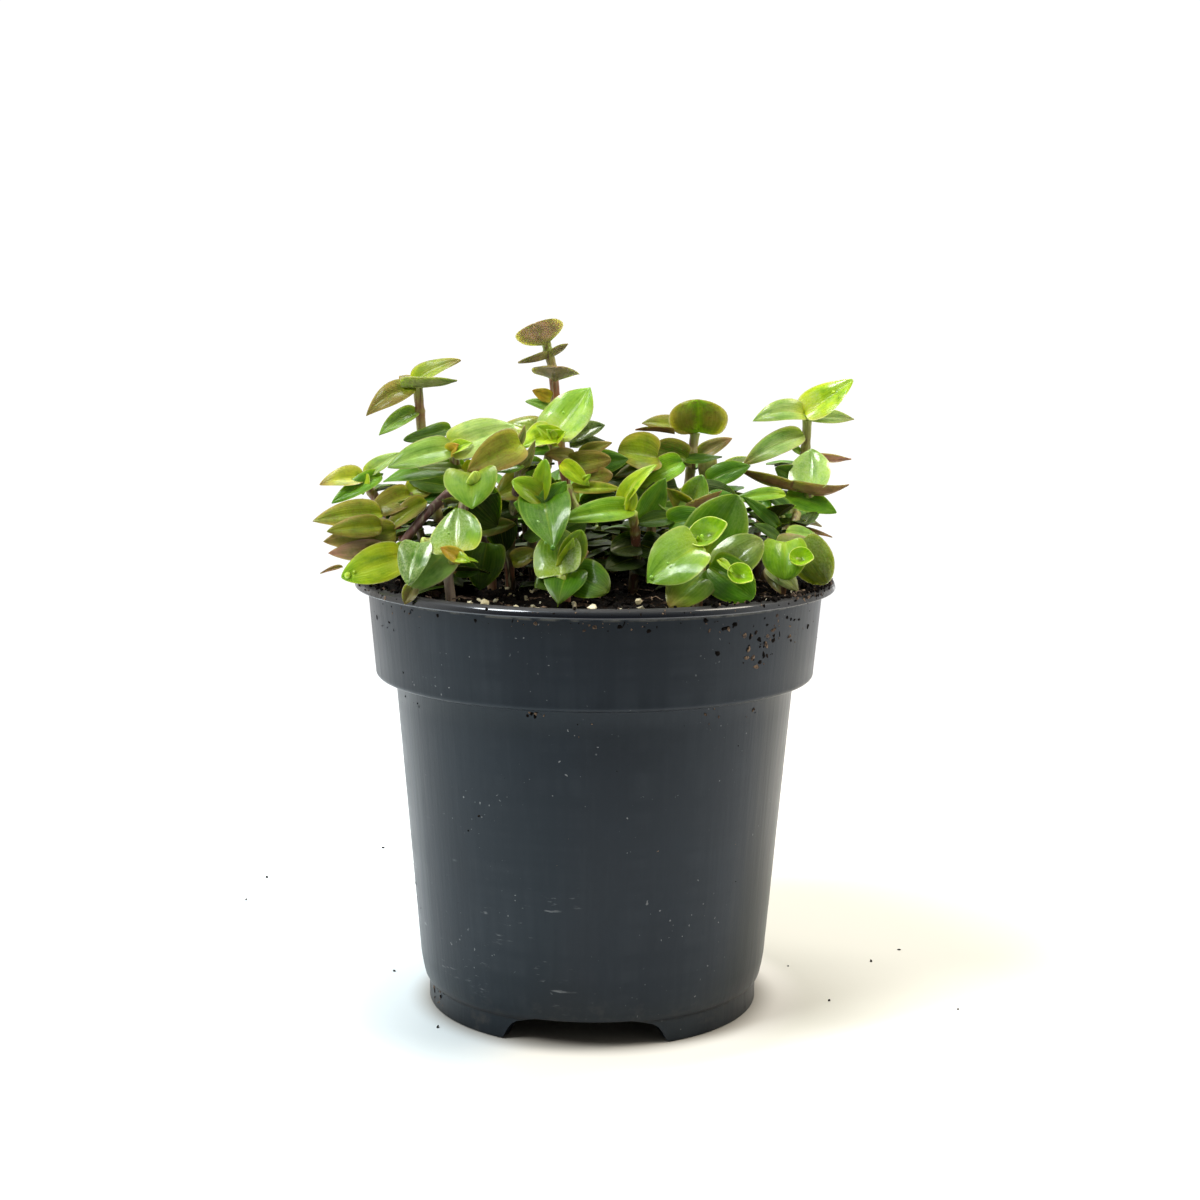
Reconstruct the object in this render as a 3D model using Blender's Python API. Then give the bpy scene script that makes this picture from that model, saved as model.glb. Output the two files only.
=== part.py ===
"""Potted turtle vine: small round leaves on jointed creeping stems, in a round nursery pot.

Metres, +Z up. The origin is on the pot's axis, at the height of what its feet stand on.
The shoots are laid out in millimetres, as (x, y, z), and scaled as they are built.
"""
import math

import bmesh
import bpy
from mathutils import Vector

for old in list(bpy.data.objects):
    bpy.data.objects.remove(old, do_unlink=True)

MM = 0.001

# Pot: a thin moulded shell, with a wide collar, a flared lip and a notched foot ring
POT_HEIGHT = 95.0
LIP_RADIUS = 52.5
LIP_THICK = 1.9
LIP_ROUND = 0.6
WALL = 1.0
COLLAR_TOP_RADIUS = 49.7
COLLAR_LOW_RADIUS = 48.1
COLLAR_LOW_Z = 73.6
COLLAR_ROUND = 0.8
BODY_TOP_RADIUS = 43.8
BODY_LOW_RADIUS = 38.5
BODY_LOW_Z = 11.0
STEP_RADIUS = 37.1
STEP_Z = 5.4
BASE_Z = 6.3
FOOT_RADIUS = 36.6
FOOT_WIDTH = 3.0
FOOT_ROUND = 0.4
POT_SIDES = 60

NOTCH_COUNT = 3
NOTCH_FIRST = math.radians(-92.5)
NOTCH_HALF_WIDTH = 16.4
NOTCH_SLANT = 0.9
NOTCH_TOP_Z = 5.9

DRAIN_COUNT = 6
DRAIN_RADIUS = 3.5
DRAIN_CIRCLE = 26.0
DRAIN_SIDES = 20

# Potting mix: fills the pot to a little under the lip
GAP = 0.3
MIX_TOP_Z = 92.2
MIX_SIDES = 40
MIX_RINGS = 7
MIX_DEPTH = 7.0

# Plant
STEM_RADIUS = 1.0
STEM_SWELL = 1.2
STEM_END = 0.5
STEM_SIDES = 8
PLANT_DEPTH = 5.0
LEAF_OFF = STEM_RADIUS * STEM_SWELL + 0.5
LEAF_THICK = 0.8
LEAF_ACROSS = (-1.0, -0.55, 0.0, 0.55, 1.0)
LEAF_ROWS = (0.0, 0.14, 0.38, 0.64, 0.86)

BLACK_PLASTIC = (0.021, 0.024, 0.028)
PEAT = (0.013, 0.009, 0.006)
STEM_TAN = (0.23, 0.13, 0.06)
LEAF_GREEN = (0.09, 0.25, 0.02)
LEAF_LIME = (0.30, 0.50, 0.03)
LEAF_DARK = (0.02, 0.09, 0.015)
LEAF_BRONZE = (0.14, 0.10, 0.03)


def material(name, colour, roughness):
    mat = bpy.data.materials.new(name)
    mat.use_nodes = True
    shader = mat.node_tree.nodes["Principled BSDF"]
    shader.inputs["Base Color"].default_value = (*colour, 1.0)
    shader.inputs["Roughness"].default_value = roughness
    shader.inputs["Metallic"].default_value = 0.0
    return mat


def mesh_object(name, bm, mat, sharp=math.radians(35)):
    bmesh.ops.recalc_face_normals(bm, faces=bm.faces)
    mesh = bpy.data.meshes.new(name)
    bm.to_mesh(mesh)
    bm.free()
    mesh.shade_smooth()
    mesh.set_sharp_from_angle(angle=sharp)
    mesh.materials.append(mat)
    obj = bpy.data.objects.new(name, mesh)
    bpy.context.collection.objects.link(obj)
    return obj


def cut(target, cutter, name):
    cutter.hide_render = True
    cutter.display_type = "WIRE"
    boolean = target.modifiers.new(name, "BOOLEAN")
    boolean.operation = "DIFFERENCE"
    boolean.solver = "EXACT"
    boolean.object = cutter


def join(target, piece):
    piece.hide_render = True
    piece.display_type = "WIRE"
    boolean = target.modifiers.new("joined leaf", "BOOLEAN")
    boolean.operation = "UNION"
    boolean.solver = "EXACT"
    boolean.material_mode = "TRANSFER"
    boolean.object = piece


def lerp(a, b, t):
    return a + (b - a) * t


# ---------------------------------------------------------------- turned shapes
def arc(centre, radius, start, stop, steps):
    """Points of an arc in the (r, z) plane, from start to stop in degrees."""
    angles = [math.radians(lerp(start, stop, i / steps)) for i in range(steps + 1)]
    return [(centre[0] + radius * math.cos(a), centre[1] + radius * math.sin(a)) for a in angles]


def turned(name, profile, sides, mat):
    """Turn a profile that starts and ends on the Z axis into a closed solid."""
    bm = bmesh.new()
    rings = []
    for r, z in profile:
        if r == 0:
            rings.append([bm.verts.new((0, 0, z * MM))] * sides)
            continue
        angles = [2 * math.pi * i / sides for i in range(sides)]
        rings.append([bm.verts.new((r * MM * math.cos(a), r * MM * math.sin(a), z * MM))
                      for a in angles])
    for low, high in zip(rings, rings[1:]):
        for i in range(sides):
            corners = [low[i], low[(i + 1) % sides], high[(i + 1) % sides], high[i]]
            bm.faces.new(list(dict.fromkeys(corners)))
    return mesh_object(name, bm, mat)


# ---------------------------------------------------------------- pot
def pot_profile():
    foot_inner = FOOT_RADIUS - FOOT_WIDTH
    lip_low = POT_HEIGHT - LIP_THICK
    base_top = BASE_Z + WALL
    outside = [(0, BASE_Z), (foot_inner, BASE_Z)]
    outside += arc((foot_inner + FOOT_ROUND, FOOT_ROUND), FOOT_ROUND, 180, 270, 1)
    outside += arc((FOOT_RADIUS - FOOT_ROUND, FOOT_ROUND), FOOT_ROUND, -90, 0, 1)
    outside += [(FOOT_RADIUS, STEP_Z - 0.5), (STEP_RADIUS, STEP_Z)]
    outside += [(lerp(STEP_RADIUS, BODY_LOW_RADIUS, 0.6), lerp(STEP_Z, BODY_LOW_Z, 0.45))]
    outside += [(lerp(BODY_LOW_RADIUS, BODY_TOP_RADIUS, t), lerp(BODY_LOW_Z, COLLAR_LOW_Z, t))
                for t in (0.0, 0.33, 0.66)]
    outside += [(BODY_TOP_RADIUS, COLLAR_LOW_Z - 0.4), (BODY_TOP_RADIUS + 0.4, COLLAR_LOW_Z)]
    outside += arc((COLLAR_LOW_RADIUS - COLLAR_ROUND, COLLAR_LOW_Z + COLLAR_ROUND),
                   COLLAR_ROUND, -90, 0, 2)
    outside += [(COLLAR_TOP_RADIUS, lip_low - 0.7), (COLLAR_TOP_RADIUS + 0.6, lip_low)]
    outside += arc((LIP_RADIUS - LIP_ROUND, lip_low + LIP_ROUND), LIP_ROUND, -90, 0, 1)
    outside += arc((LIP_RADIUS - LIP_ROUND, POT_HEIGHT - LIP_ROUND), LIP_ROUND, 0, 90, 2)
    inside = [(COLLAR_TOP_RADIUS + 0.9, POT_HEIGHT), (COLLAR_TOP_RADIUS - 0.4, POT_HEIGHT - 1.0)]
    inside += [(COLLAR_TOP_RADIUS - WALL, lip_low - 1.2)]
    inside += [(COLLAR_LOW_RADIUS - WALL, COLLAR_LOW_Z + WALL + 0.4)]
    inside += [(COLLAR_LOW_RADIUS - WALL - 0.4, COLLAR_LOW_Z + WALL)]
    inside += [(BODY_TOP_RADIUS - WALL, COLLAR_LOW_Z + WALL)]
    inside += [(BODY_LOW_RADIUS - WALL, BODY_LOW_Z), (STEP_RADIUS - WALL, base_top + 0.8)]
    inside += [(STEP_RADIUS - WALL - 1.0, base_top), (0, base_top)]
    return outside + inside


def notch_cutter(index, mat):
    """A block, wider below, that parts the foot ring between two feet."""
    angle = NOTCH_FIRST + index * 2 * math.pi / NOTCH_COUNT
    low, high = -1.0, NOTCH_TOP_Z
    half_low = NOTCH_HALF_WIDTH + NOTCH_SLANT
    half_high = NOTCH_HALF_WIDTH - NOTCH_SLANT
    near, far = FOOT_RADIUS - 2.6 * FOOT_WIDTH, FOOT_RADIUS + FOOT_WIDTH
    outline = [(-half_low, low), (half_low, low), (half_high, high), (-half_high, high)]
    bm = bmesh.new()
    face = bm.faces.new([bm.verts.new((near * MM, side * MM, z * MM)) for side, z in outline])
    grown = bmesh.ops.extrude_face_region(bm, geom=[face])["geom"]
    moved = [v for v in grown if isinstance(v, bmesh.types.BMVert)]
    bmesh.ops.translate(bm, verts=moved, vec=((far - near) * MM, 0, 0))
    cutter = mesh_object(f"notch_cutter_{index + 1}", bm, mat)
    cutter.rotation_euler = (0, 0, angle)
    return cutter


def drain_cutter(index, mat):
    angle = NOTCH_FIRST + (index + 0.5) * 2 * math.pi / DRAIN_COUNT
    bm = bmesh.new()
    bmesh.ops.create_cone(bm, cap_ends=True, segments=DRAIN_SIDES, radius1=DRAIN_RADIUS * MM,
                          radius2=DRAIN_RADIUS * MM, depth=4 * WALL * MM)
    cutter = mesh_object(f"drain_cutter_{index + 1}", bm, mat)
    cutter.location = (DRAIN_CIRCLE * MM * math.cos(angle), DRAIN_CIRCLE * MM * math.sin(angle),
                       (BASE_Z + WALL / 2) * MM)
    return cutter


def build_pot():
    mat = material("black_plastic", BLACK_PLASTIC, 0.38)
    pot = turned("pot", pot_profile(), POT_SIDES, mat)
    for index in range(NOTCH_COUNT):
        cut(pot, notch_cutter(index, mat), "foot notch")
    for index in range(DRAIN_COUNT):
        cut(pot, drain_cutter(index, mat), "drain hole")


# ---------------------------------------------------------------- potting mix
def mix_height(x, y):
    """The settled top of the mix: a low heap, with gentle lumps."""
    heap = 0.9 * (1 - (x * x + y * y) / 48.0 ** 2)
    lumps = 0.5 * math.sin(0.21 * x + 1.0) * math.cos(0.17 * y) + 0.3 * math.sin(0.33 * y + 0.25 * x)
    return MIX_TOP_Z + heap + lumps


def build_mix(roots):
    mat = material("peat_mix", PEAT, 0.95)
    collar_in = COLLAR_LOW_RADIUS - WALL - GAP
    top_in = lerp(COLLAR_LOW_RADIUS, COLLAR_TOP_RADIUS, 0.9) - WALL - GAP
    floor_z = BASE_Z + WALL + GAP
    profile = [(0, floor_z), (STEP_RADIUS - WALL - 1.0 - GAP, floor_z)]
    profile += [(STEP_RADIUS - WALL - GAP, floor_z + 0.8), (BODY_LOW_RADIUS - WALL - GAP, BODY_LOW_Z)]
    profile += [(BODY_TOP_RADIUS - WALL - GAP, COLLAR_LOW_Z + WALL + GAP)]
    profile += [(collar_in - 0.5, COLLAR_LOW_Z + WALL + GAP), (collar_in, COLLAR_LOW_Z + WALL + 1.0)]
    profile += [(top_in, MIX_TOP_Z - 1.5)]
    profile += [(top_in * (1 - i / MIX_RINGS), MIX_TOP_Z) for i in range(1, MIX_RINGS)]
    profile += [(0, MIX_TOP_Z)]
    mix = turned("potting_mix", profile, MIX_SIDES, mat)
    for vertex in mix.data.vertices:
        if vertex.co.z > (MIX_TOP_Z - 0.1) * MM:
            vertex.co.z = mix_height(vertex.co.x / MM, vertex.co.y / MM) * MM
    for name, (x, y) in roots.items():
        bm = bmesh.new()
        bmesh.ops.create_cone(bm, cap_ends=True, segments=12, depth=2 * MIX_DEPTH * MM,
                              radius1=(STEM_RADIUS + GAP) * MM, radius2=(STEM_RADIUS + GAP) * MM)
        socket = mesh_object(f"socket_{name}", bm, mat)
        socket.location = (x * MM, y * MM, MIX_TOP_Z * MM)
        cut(mix, socket, "planted stem")


# ---------------------------------------------------------------- plant
def tube(name, route, radii, mat):
    """A closed tube along a route, with a radius for each of its points."""
    bm = bmesh.new()
    points = [Vector(p) for p in route]
    rings = []
    for i, (centre, radius) in enumerate(zip(points, radii)):
        before, after = points[max(i - 1, 0)], points[min(i + 1, len(points) - 1)]
        along = (after - before).normalized()
        right = along.cross(Vector((0, 1, 0))).normalized()
        front = along.cross(right)
        angles = [2 * math.pi * k / STEM_SIDES for k in range(STEM_SIDES)]
        rings.append([bm.verts.new((centre + (right * math.cos(a) + front * math.sin(a)) * radius) * MM)
                      for a in angles])
    for low, high in zip(rings, rings[1:]):
        for k in range(STEM_SIDES):
            j = (k + 1) % STEM_SIDES
            bm.faces.new((low[k], low[j], high[j], high[k]))
    bm.faces.new(rings[0])
    bm.faces.new(rings[-1])
    return mesh_object(name, bm, mat)


def build_stem(name, route, mat):
    """A jointed stem: straight between its nodes, thicker above the mix, and tapered at its end."""
    x, y, _ = route[0]
    points = [(x, y, MIX_TOP_Z - PLANT_DEPTH), (x, y, MIX_TOP_Z + 2.0)]
    girths = [1.0, 1.0]
    points += route[1:]
    girths += [STEM_SWELL] * (len(route) - 1)
    end = Vector(points[-1]) + (Vector(points[-1]) - Vector(points[-2])).normalized() * STEM_END
    points.append(tuple(end))
    girths.append(0.6)
    return tube(name, points, [STEM_RADIUS * g for g in girths], mat)


def outline(t):
    """Half width of a leaf along its length, as a share of the widest."""
    return 2.2 * (t + 0.03) ** 0.5 * max(0.0, 1 - t) ** 0.75


def facing_vector(azimuth, elevation):
    """Azimuth 0 faces -Y, 90 faces +X; elevation 90 faces up."""
    a, e = math.radians(azimuth), math.radians(elevation)
    return Vector((math.sin(a) * math.cos(e), -math.cos(a) * math.cos(e), math.sin(e)))


def build_leaf(name, leaf, mats, start):
    """A pointed oval blade, folded along its midrib; start is how far its base is from the stem's line."""
    base, tip, width, facing, cup, arch, tone = leaf
    base, tip = Vector(base), Vector(tip)
    along = (tip - base).normalized()
    base = base + along * start
    length = (tip - base).length
    face = facing_vector(*facing)
    up = (face - along * face.dot(along)).normalized()
    side = along.cross(up)
    bm = bmesh.new()

    def point(t, u, layer):
        half = 0.5 * width * outline(t)
        thick = LEAF_THICK * 0.5 * (1 - u * u) * min(1.0, 0.5 + t)
        lift = arch * 4 * t * (1 - t) + cup * half * abs(u) ** 1.5 + layer * thick
        return (base + along * length * t + side * half * u + up * lift) * MM

    rows = []
    for t in LEAF_ROWS:
        top = [bm.verts.new(point(t, u, 1)) for u in LEAF_ACROSS]
        under = [bm.verts.new(point(t, u, -1)) for u in LEAF_ACROSS[1:-1]]
        rows.append(top + under[::-1])
    end = bm.verts.new(point(1.0, 0.0, 0))
    count = len(rows[0])
    for row, after in zip(rows, rows[1:]):
        for i in range(count):
            j = (i + 1) % count
            bm.faces.new((row[i], row[j], after[j], after[i]))
    for i in range(count):
        bm.faces.new((rows[-1][i], rows[-1][(i + 1) % count], end))
    bm.faces.new(rows[0][::-1])
    return mesh_object(name, bm, mats[tone], sharp=math.radians(80))


def build_shoot(name, shoot, mats):
    """A stem; its main leaves stand just off it as parts, and the rest are joined to it."""
    stem = build_stem(f"stem_{name}", shoot["stem"], mats["stem"])
    for index, leaf in enumerate(shoot["leaves"]):
        build_leaf(f"leaf_{name}_{index + 1}", leaf, mats, LEAF_OFF)
    for index, leaf in enumerate(shoot.get("joined", ())):
        blade = build_leaf(f"joined_{name}_{index + 1}", leaf, mats, 0.0)
        join(stem, blade)


# Each shoot: its stem's route from the mix up, and its leaves as
# (base on the stem, tip, width, (azimuth, elevation) of the upper face, cup, arch, tone)
SHOOTS = {
    "left_tall": {
        "stem": [(-30, -10, 94), (-31, -10, 98), (-34, -9, 109), (-36.4, -8, 119), (-37.2, -8, 125),
                 (-37.7, -8, 131), (-38, -8, 135.5)],
        "leaves": [
            ((-38, -8, 136.5), (-28.8, -9, 141.8), 6.5, (-20, 50), 0.35, 0.4, "lime"),
            ((-38.2, -8, 136.4), (-49.2, -11, 130), 6.5, (-30, 35), 0.2, 1.6, "bronze"),
            ((-37.8, -8, 131), (-46.6, -11, 125.7), 5, (-30, 30), 0.3, 0.8, "green"),
        ],
        "joined": [((-37.2, -8, 124.6), (-30.4, -11, 127.6), 4.5, (10, 50), 0.35, 0, "green")],
    },
    "left_pair": {
        "stem": [(-22, -14, 94), (-23, -15, 101), (-26.5, -17, 111), (-29, -19, 119), (-29.8, -20, 123)],
        "leaves": [
            ((-30, -20, 123.8), (-44.5, -23, 119.5), 9, (-10, 50), 0.15, 0.8, "green"),
            ((-29.6, -20, 124), (-17.8, -19, 129.3), 9, (10, 35), 0.2, 0.5, "lime"),
        ],
        "joined": [((-29, -19, 119), (-42, -20, 116.6), 6, (0, 50), 0.2, 0.5, "dark")],
    },
    "left_mid": {
        "stem": [(-18, -16, 94), (-18, -17, 102), (-17, -19, 112), (-15.8, -22, 119), (-15.6, -22.5, 123)],
        "leaves": [((-15.8, -22.5, 124), (-26.6, -27, 119.6), 8, (0, 25), 0.25, 0.6, "bronze")],
    },
    "front_left": {
        "stem": [(-29.5, -32, 94), (-30, -32, 100), (-29, -30, 105), (-27, -27, 113), (-25.8, -25, 118)],
        "leaves": [
            ((-29.3, -31, 104), (-27.8, -36, 113), 11.5, (5, 15), 0.3, 0, "green"),
            ((-25.8, -25.7, 119.6), (-25.3, -34, 112.4), 12, (0, 60), 0.1, 1, "lime"),
            ((-30, -32, 104.5), (-39.9, -38, 96), 10, (25, 25), 0.15, 0.8, "green"),
        ],
    },
    "left_outer": {
        "stem": [(-41, -9, 94), (-42, -11, 99), (-44, -13, 104), (-45.3, -15, 108)],
        "leaves": [
            ((-42.5, -12, 100.5), (-54, -17, 98.2), 8.5, (-10, 40), 0.2, 0.6, "lime"),
            ((-45.5, -16, 109.5), (-59.5, -22, 108.8), 6.5, (-20, 45), 0.3, 0.8, "lime"),
            ((-44.3, -15, 104.8), (-57, -22, 103.2), 7, (-20, 30), 0.2, 0.8, "bronze"),
        ],
    },
    "left_low": {
        "stem": [(-38, -3, 94), (-39.5, -4, 100), (-44.5, -6, 107.5), (-48.3, -7, 113.5), (-50, -8, 116.5)],
        "leaves": [
            ((-50, -8, 117), (-59.3, -10, 115), 4.5, (-10, 50), 0.3, 0.8, "lime"),
            ((-48.4, -8, 113), (-56.5, -12, 111.5), 5.5, (0, 40), 0.2, 0.5, "green"),
        ],
        "joined": [((-50, -8, 117), (-41.6, -9, 122), 4, (0, 45), 0.2, 0.5, "green")],
    },
    "centre_tall": {
        "stem": [(-3, 4, 94), (-4, 3, 100), (-6, 1, 112), (-8, -1, 124), (-8.8, -2, 133),
                 (-9.6, -2, 140), (-10.6, -2, 144), (-11.1, -2, 146)],
        "leaves": [
            ((-11.2, -2, 146.2), (-13.5, -11, 150.3), 10.5, (-152, 45), 0.15, 0.6, "bronze"),
            ((-9.4, -2, 137.4), (-8.4, -10, 141.4), 10, (170, 60), 0.2, 0, "bronze"),
        ],
        "joined": [
            ((-10.3, -2, 142), (-16.8, -4, 141.4), 5.5, (0, 85), 0.2, 0.3, "green"),
            ((-10.3, -2, 143), (-6.4, -1, 145.4), 4, (0, 60), 0.2, 0, "green"),
        ],
    },
    "centre_bright": {
        "stem": [(-13, -12, 94), (-13.5, -13, 102), (-13, -14, 112), (-10.5, -13, 120), (-9.4, -12, 125)],
        "leaves": [
            ((-9.3, -12, 125.3), (-1.4, -14, 136.4), 10.5, (10, 25), 0.3, 0, "green"),
        ],
        "joined": [
            ((-9, -12, 125.5), (-16, -20, 124), 6.5, (-10, 60), 0.3, 0, "lime"),
            ((-9.6, -11.6, 125), (-19.5, -7, 128.5), 6.5, (0, 50), 0.2, 0.8, "green"),
            ((-9.2, -12, 124.6), (1.2, -7, 127.6), 6, (0, 50), 0.3, 0, "dark"),
        ],
    },
    "centre_front": {
        "stem": [(-6, -30, 94), (-7, -30.5, 100), (-9, -30, 107), (-10.5, -28, 114), (-11.3, -26, 120)],
        "leaves": [
            ((-10.7, -29, 114.3), (-8.8, -41, 105.2), 11, (0, 50), 0.35, 0.5, "green"),
            ((-7.8, -32.6, 99.3), (-7, -34.3, 108.4), 12, (0, 15), 0.4, 0, "green"),
            ((-6.3, -30.5, 96.8), (-7.8, -41, 94), 8, (-10, 60), 0.1, 1.2, "green"),
        ],
        "joined": [
            ((-11.2, -26, 120), (-12.5, -33, 113.5), 8.5, (-20, 30), 0.45, 0, "lime"),
            ((-6.9, -30.5, 99), (3.4, -37, 96.8), 7, (10, 55), 0.1, 0.8, "green"),
        ],
    },
    "centre_right": {
        "stem": [(8, -16, 94), (8.5, -18, 101), (8.3, -21, 107), (7.6, -23, 111)],
        "leaves": [((7.6, -23.5, 111.2), (-7.3, -28, 108.3), 6.5, (0, 50), 0.2, 0.5, "lime")],
        "joined": [
            ((7.2, -22.5, 111.5), (12.9, -18, 121), 5, (-40, 30), 0.3, 0, "lime"),
            ((8.4, -20, 106), (14.2, -14, 117.5), 6.5, (10, 25), 0.2, 0, "green"),
        ],
    },
    "centre_olive": {
        "stem": [(12, -3, 94), (12, -3, 104), (12.8, -2, 114), (13, -2, 121)],
        "leaves": [((12.8, -2.5, 121.3), (5.5, -6, 125.3), 8, (0, 25), 0.3, 0, "lime")],
        "joined": [((12.8, -2, 118), (3.5, -6, 118.6), 5.5, (0, 60), 0.2, 0.5, "dark")],
    },
    "mushroom": {
        "stem": [(17, 2, 94), (18, 3, 101), (19.8, 4, 111), (20.8, 5, 117.5), (21.2, 5, 122),
                 (21.7, 5, 126)],
        "leaves": [
            ((21.9, 5, 126.8), (24.9, -2, 133.4), 13, (175, 35), 0.1, 0.5, "bronze"),
            ((21.6, 5.3, 126), (9.9, 4, 128), 5.5, (0, 65), 0.2, 0.6, "dark"),
        ],
        "joined": [
            ((21, 5, 121), (28.8, 7, 124.5), 4, (0, 40), 0.2, 0.5, "bronze"),
            ((20.8, 5, 119.5), (27.2, 1, 121), 4.5, (0, 75), 0.2, 0.3, "dark"),
            ((20.8, 5, 119.5), (13.5, 1, 121.5), 5.5, (0, 40), 0.2, 0.3, "dark"),
        ],
    },
    "rosette": {
        "stem": [(21, -19, 94), (21.5, -20, 101), (21.3, -19, 107), (20.7, -16, 111)],
        "leaves": [((22.6, -21.6, 103.4), (29.6, -25, 115), 13, (10, 20), 0.15, 0.5, "dark")],
        "joined": [
            ((20.6, -15.5, 111.5), (23.3, -17, 118.3), 6.5, (-15, 25), 0.4, 0, "lime"),
            ((20.6, -15.5, 111.2), (16, -20, 115.3), 4.5, (-30, 40), 0.4, 0, "green"),
        ],
    },
    "front_right": {
        "stem": [(21, -33, 94), (21.5, -34, 99), (21.2, -36, 105)],
        "leaves": [
            ((21.2, -37, 105.2), (10.4, -43, 98.6), 12, (-10, 30), 0.15, 0.5, "lime"),
            ((21.3, -34.5, 99.5), (16.8, -44, 94.6), 8, (-10, 60), 0.1, 1, "green"),
            ((21.6, -34.5, 99.8), (33, -40, 96.5), 9, (10, 40), 0.15, 0.8, "green"),
        ],
    },
    "right_rosette": {
        "stem": [(40, -12, 94), (41.5, -14, 98), (42.8, -17, 101)],
        "leaves": [
            ((42.8, -17, 101.5), (35.2, -21, 100), 9, (-10, 45), 0.2, 0.3, "lime"),
            ((43, -17, 101.5), (50.3, -20, 99), 8.5, (10, 45), 0.2, 0.5, "green"),
        ],
    },
    "right_tall": {
        "stem": [(36, 8, 94), (38, 11, 99), (43.5, 16, 104.5), (45, 17, 110), (46.6, 19, 117),
                 (47.6, 20, 122), (47.8, 20, 128.5)],
        "leaves": [
            ((47.6, 20, 129.8), (57.8, 18, 137.1), 7.5, (-20, 35), 0.4, 0, "lime"),
            ((47.4, 20, 129.6), (35.5, 18, 128), 6, (0, 50), 0.2, 2.5, "lime"),
            ((48, 20, 128.6), (58.6, 19, 128.2), 6, (0, 70), 0.2, 0.3, "green"),
            ((47.6, 20, 125), (32.9, 19, 117.6), 7, (-10, 45), 0.2, 2, "green"),
            ((45, 16.5, 110), (53.9, 11, 108.4), 6.5, (0, 45), 0.2, 0.5, "dark"),
        ],
        "joined": [
            ((46.9, 19, 116.5), (48.8, 14, 121.8), 8, (0, 10), 0.3, 0, "lime"),
            ((46.2, 18, 113.6), (31.4, 12, 116.8), 4.5, (0, 75), 0.2, 0.5, "bronze"),
            ((46.2, 18.5, 114), (56.9, 16, 114), 5, (0, 75), 0.2, -0.5, "bronze"),
        ],
    },
    "back_left": {
        "stem": [(-24, 16, 94), (-26, 18, 103), (-30, 22, 111), (-33, 25, 117)],
        "leaves": [],
        "joined": [
            ((-33, 25, 116.7), (-40, 33, 121), 9, (-150, 50), 0.2, 0.5, "green"),
            ((-33, 25, 116.7), (-25, 34, 119), 9, (150, 50), 0.2, 0.5, "green"),
            ((-30, 22, 111), (-41, 26, 110), 8, (-120, 50), 0.2, 0.5, "dark"),
            ((-30, 22, 111), (-23, 31, 109), 8, (150, 40), 0.2, 0.5, "dark"),
        ],
    },
    "back_centre": {
        "stem": [(-5, 24, 94), (-5, 27, 103), (-3, 31, 110), (-2, 33, 116)],
        "leaves": [],
        "joined": [
            ((-2.3, 32.4, 114.2), (-10, 41, 117), 9, (-170, 60), 0.2, 0.5, "green"),
            ((-2, 33, 115.7), (7, 39, 116.5), 9, (150, 60), 0.2, 0.5, "green"),
            ((-3.3, 30.5, 108.6), (-14, 36, 107.5), 8.5, (-160, 50), 0.2, 0.5, "dark"),
            ((-3, 31, 110), (6, 39, 107), 8.5, (160, 50), 0.2, 0.5, "dark"),
        ],
    },
    "back_right": {
        "stem": [(22, 19, 94), (24, 22, 103), (26, 25, 110), (28, 28, 116)],
        "leaves": [],
        "joined": [
            ((28, 28, 115.7), (22, 37, 118), 9, (180, 50), 0.2, 0.5, "green"),
            ((28, 28, 115.7), (37, 34, 118), 9, (140, 50), 0.2, 0.5, "green"),
            ((26, 25, 110), (17, 32, 108), 8.5, (-170, 50), 0.2, 0.5, "dark"),
            ((26, 25, 110), (36, 30, 108), 8.5, (130, 50), 0.2, 0.5, "dark"),
        ],
    },
    "back_low_left": {
        "stem": [(-16, 34, 94), (-19, 36, 98), (-24, 38, 101.5)],
        "leaves": [],
        "joined": [
            ((-24, 38, 101.2), (-34, 43, 100), 9, (-150, 60), 0.2, 0.5, "green"),
            ((-24, 38, 101.2), (-19, 48, 100), 8.5, (170, 60), 0.2, 0.5, "green"),
            ((-19, 36, 98), (-9, 44, 98.5), 8, (160, 60), 0.2, 0.5, "dark"),
        ],
    },
    "back_low_right": {
        "stem": [(10, 35, 94), (14, 37, 98), (19, 38, 102)],
        "leaves": [],
        "joined": [
            ((19, 38, 101.7), (29, 42, 100), 9, (150, 60), 0.2, 0.5, "green"),
            ((19, 38, 101.7), (16, 48, 100), 8.5, (-170, 60), 0.2, 0.5, "green"),
            ((14, 37, 98), (5, 45, 98.5), 8, (-160, 60), 0.2, 0.5, "dark"),
        ],
    },
    "back_far_left": {
        "stem": [(-38, 20, 94), (-41, 23, 99), (-44, 26, 104)],
        "leaves": [],
        "joined": [
            ((-44, 26, 103.7), (-53, 31, 102.5), 9, (-120, 60), 0.2, 0.5, "green"),
            ((-44, 26, 103.7), (-40, 36, 103.5), 8.5, (-170, 60), 0.2, 0.5, "green"),
            ((-41, 23, 99), (-51, 20, 100), 8, (-90, 60), 0.2, 0.5, "dark"),
        ],
    },
    "back_far_right": {
        "stem": [(38, 22, 94), (40, 25, 99), (43, 28, 104)],
        "leaves": [],
        "joined": [
            ((43, 28, 103.7), (53, 32, 102.5), 9, (120, 60), 0.2, 0.5, "green"),
            ((43, 28, 103.7), (38, 38, 103.5), 8.5, (170, 60), 0.2, 0.5, "green"),
            ((40, 25, 99), (51, 24, 99.5), 8, (90, 60), 0.2, 0.5, "dark"),
        ],
    },
}


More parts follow.
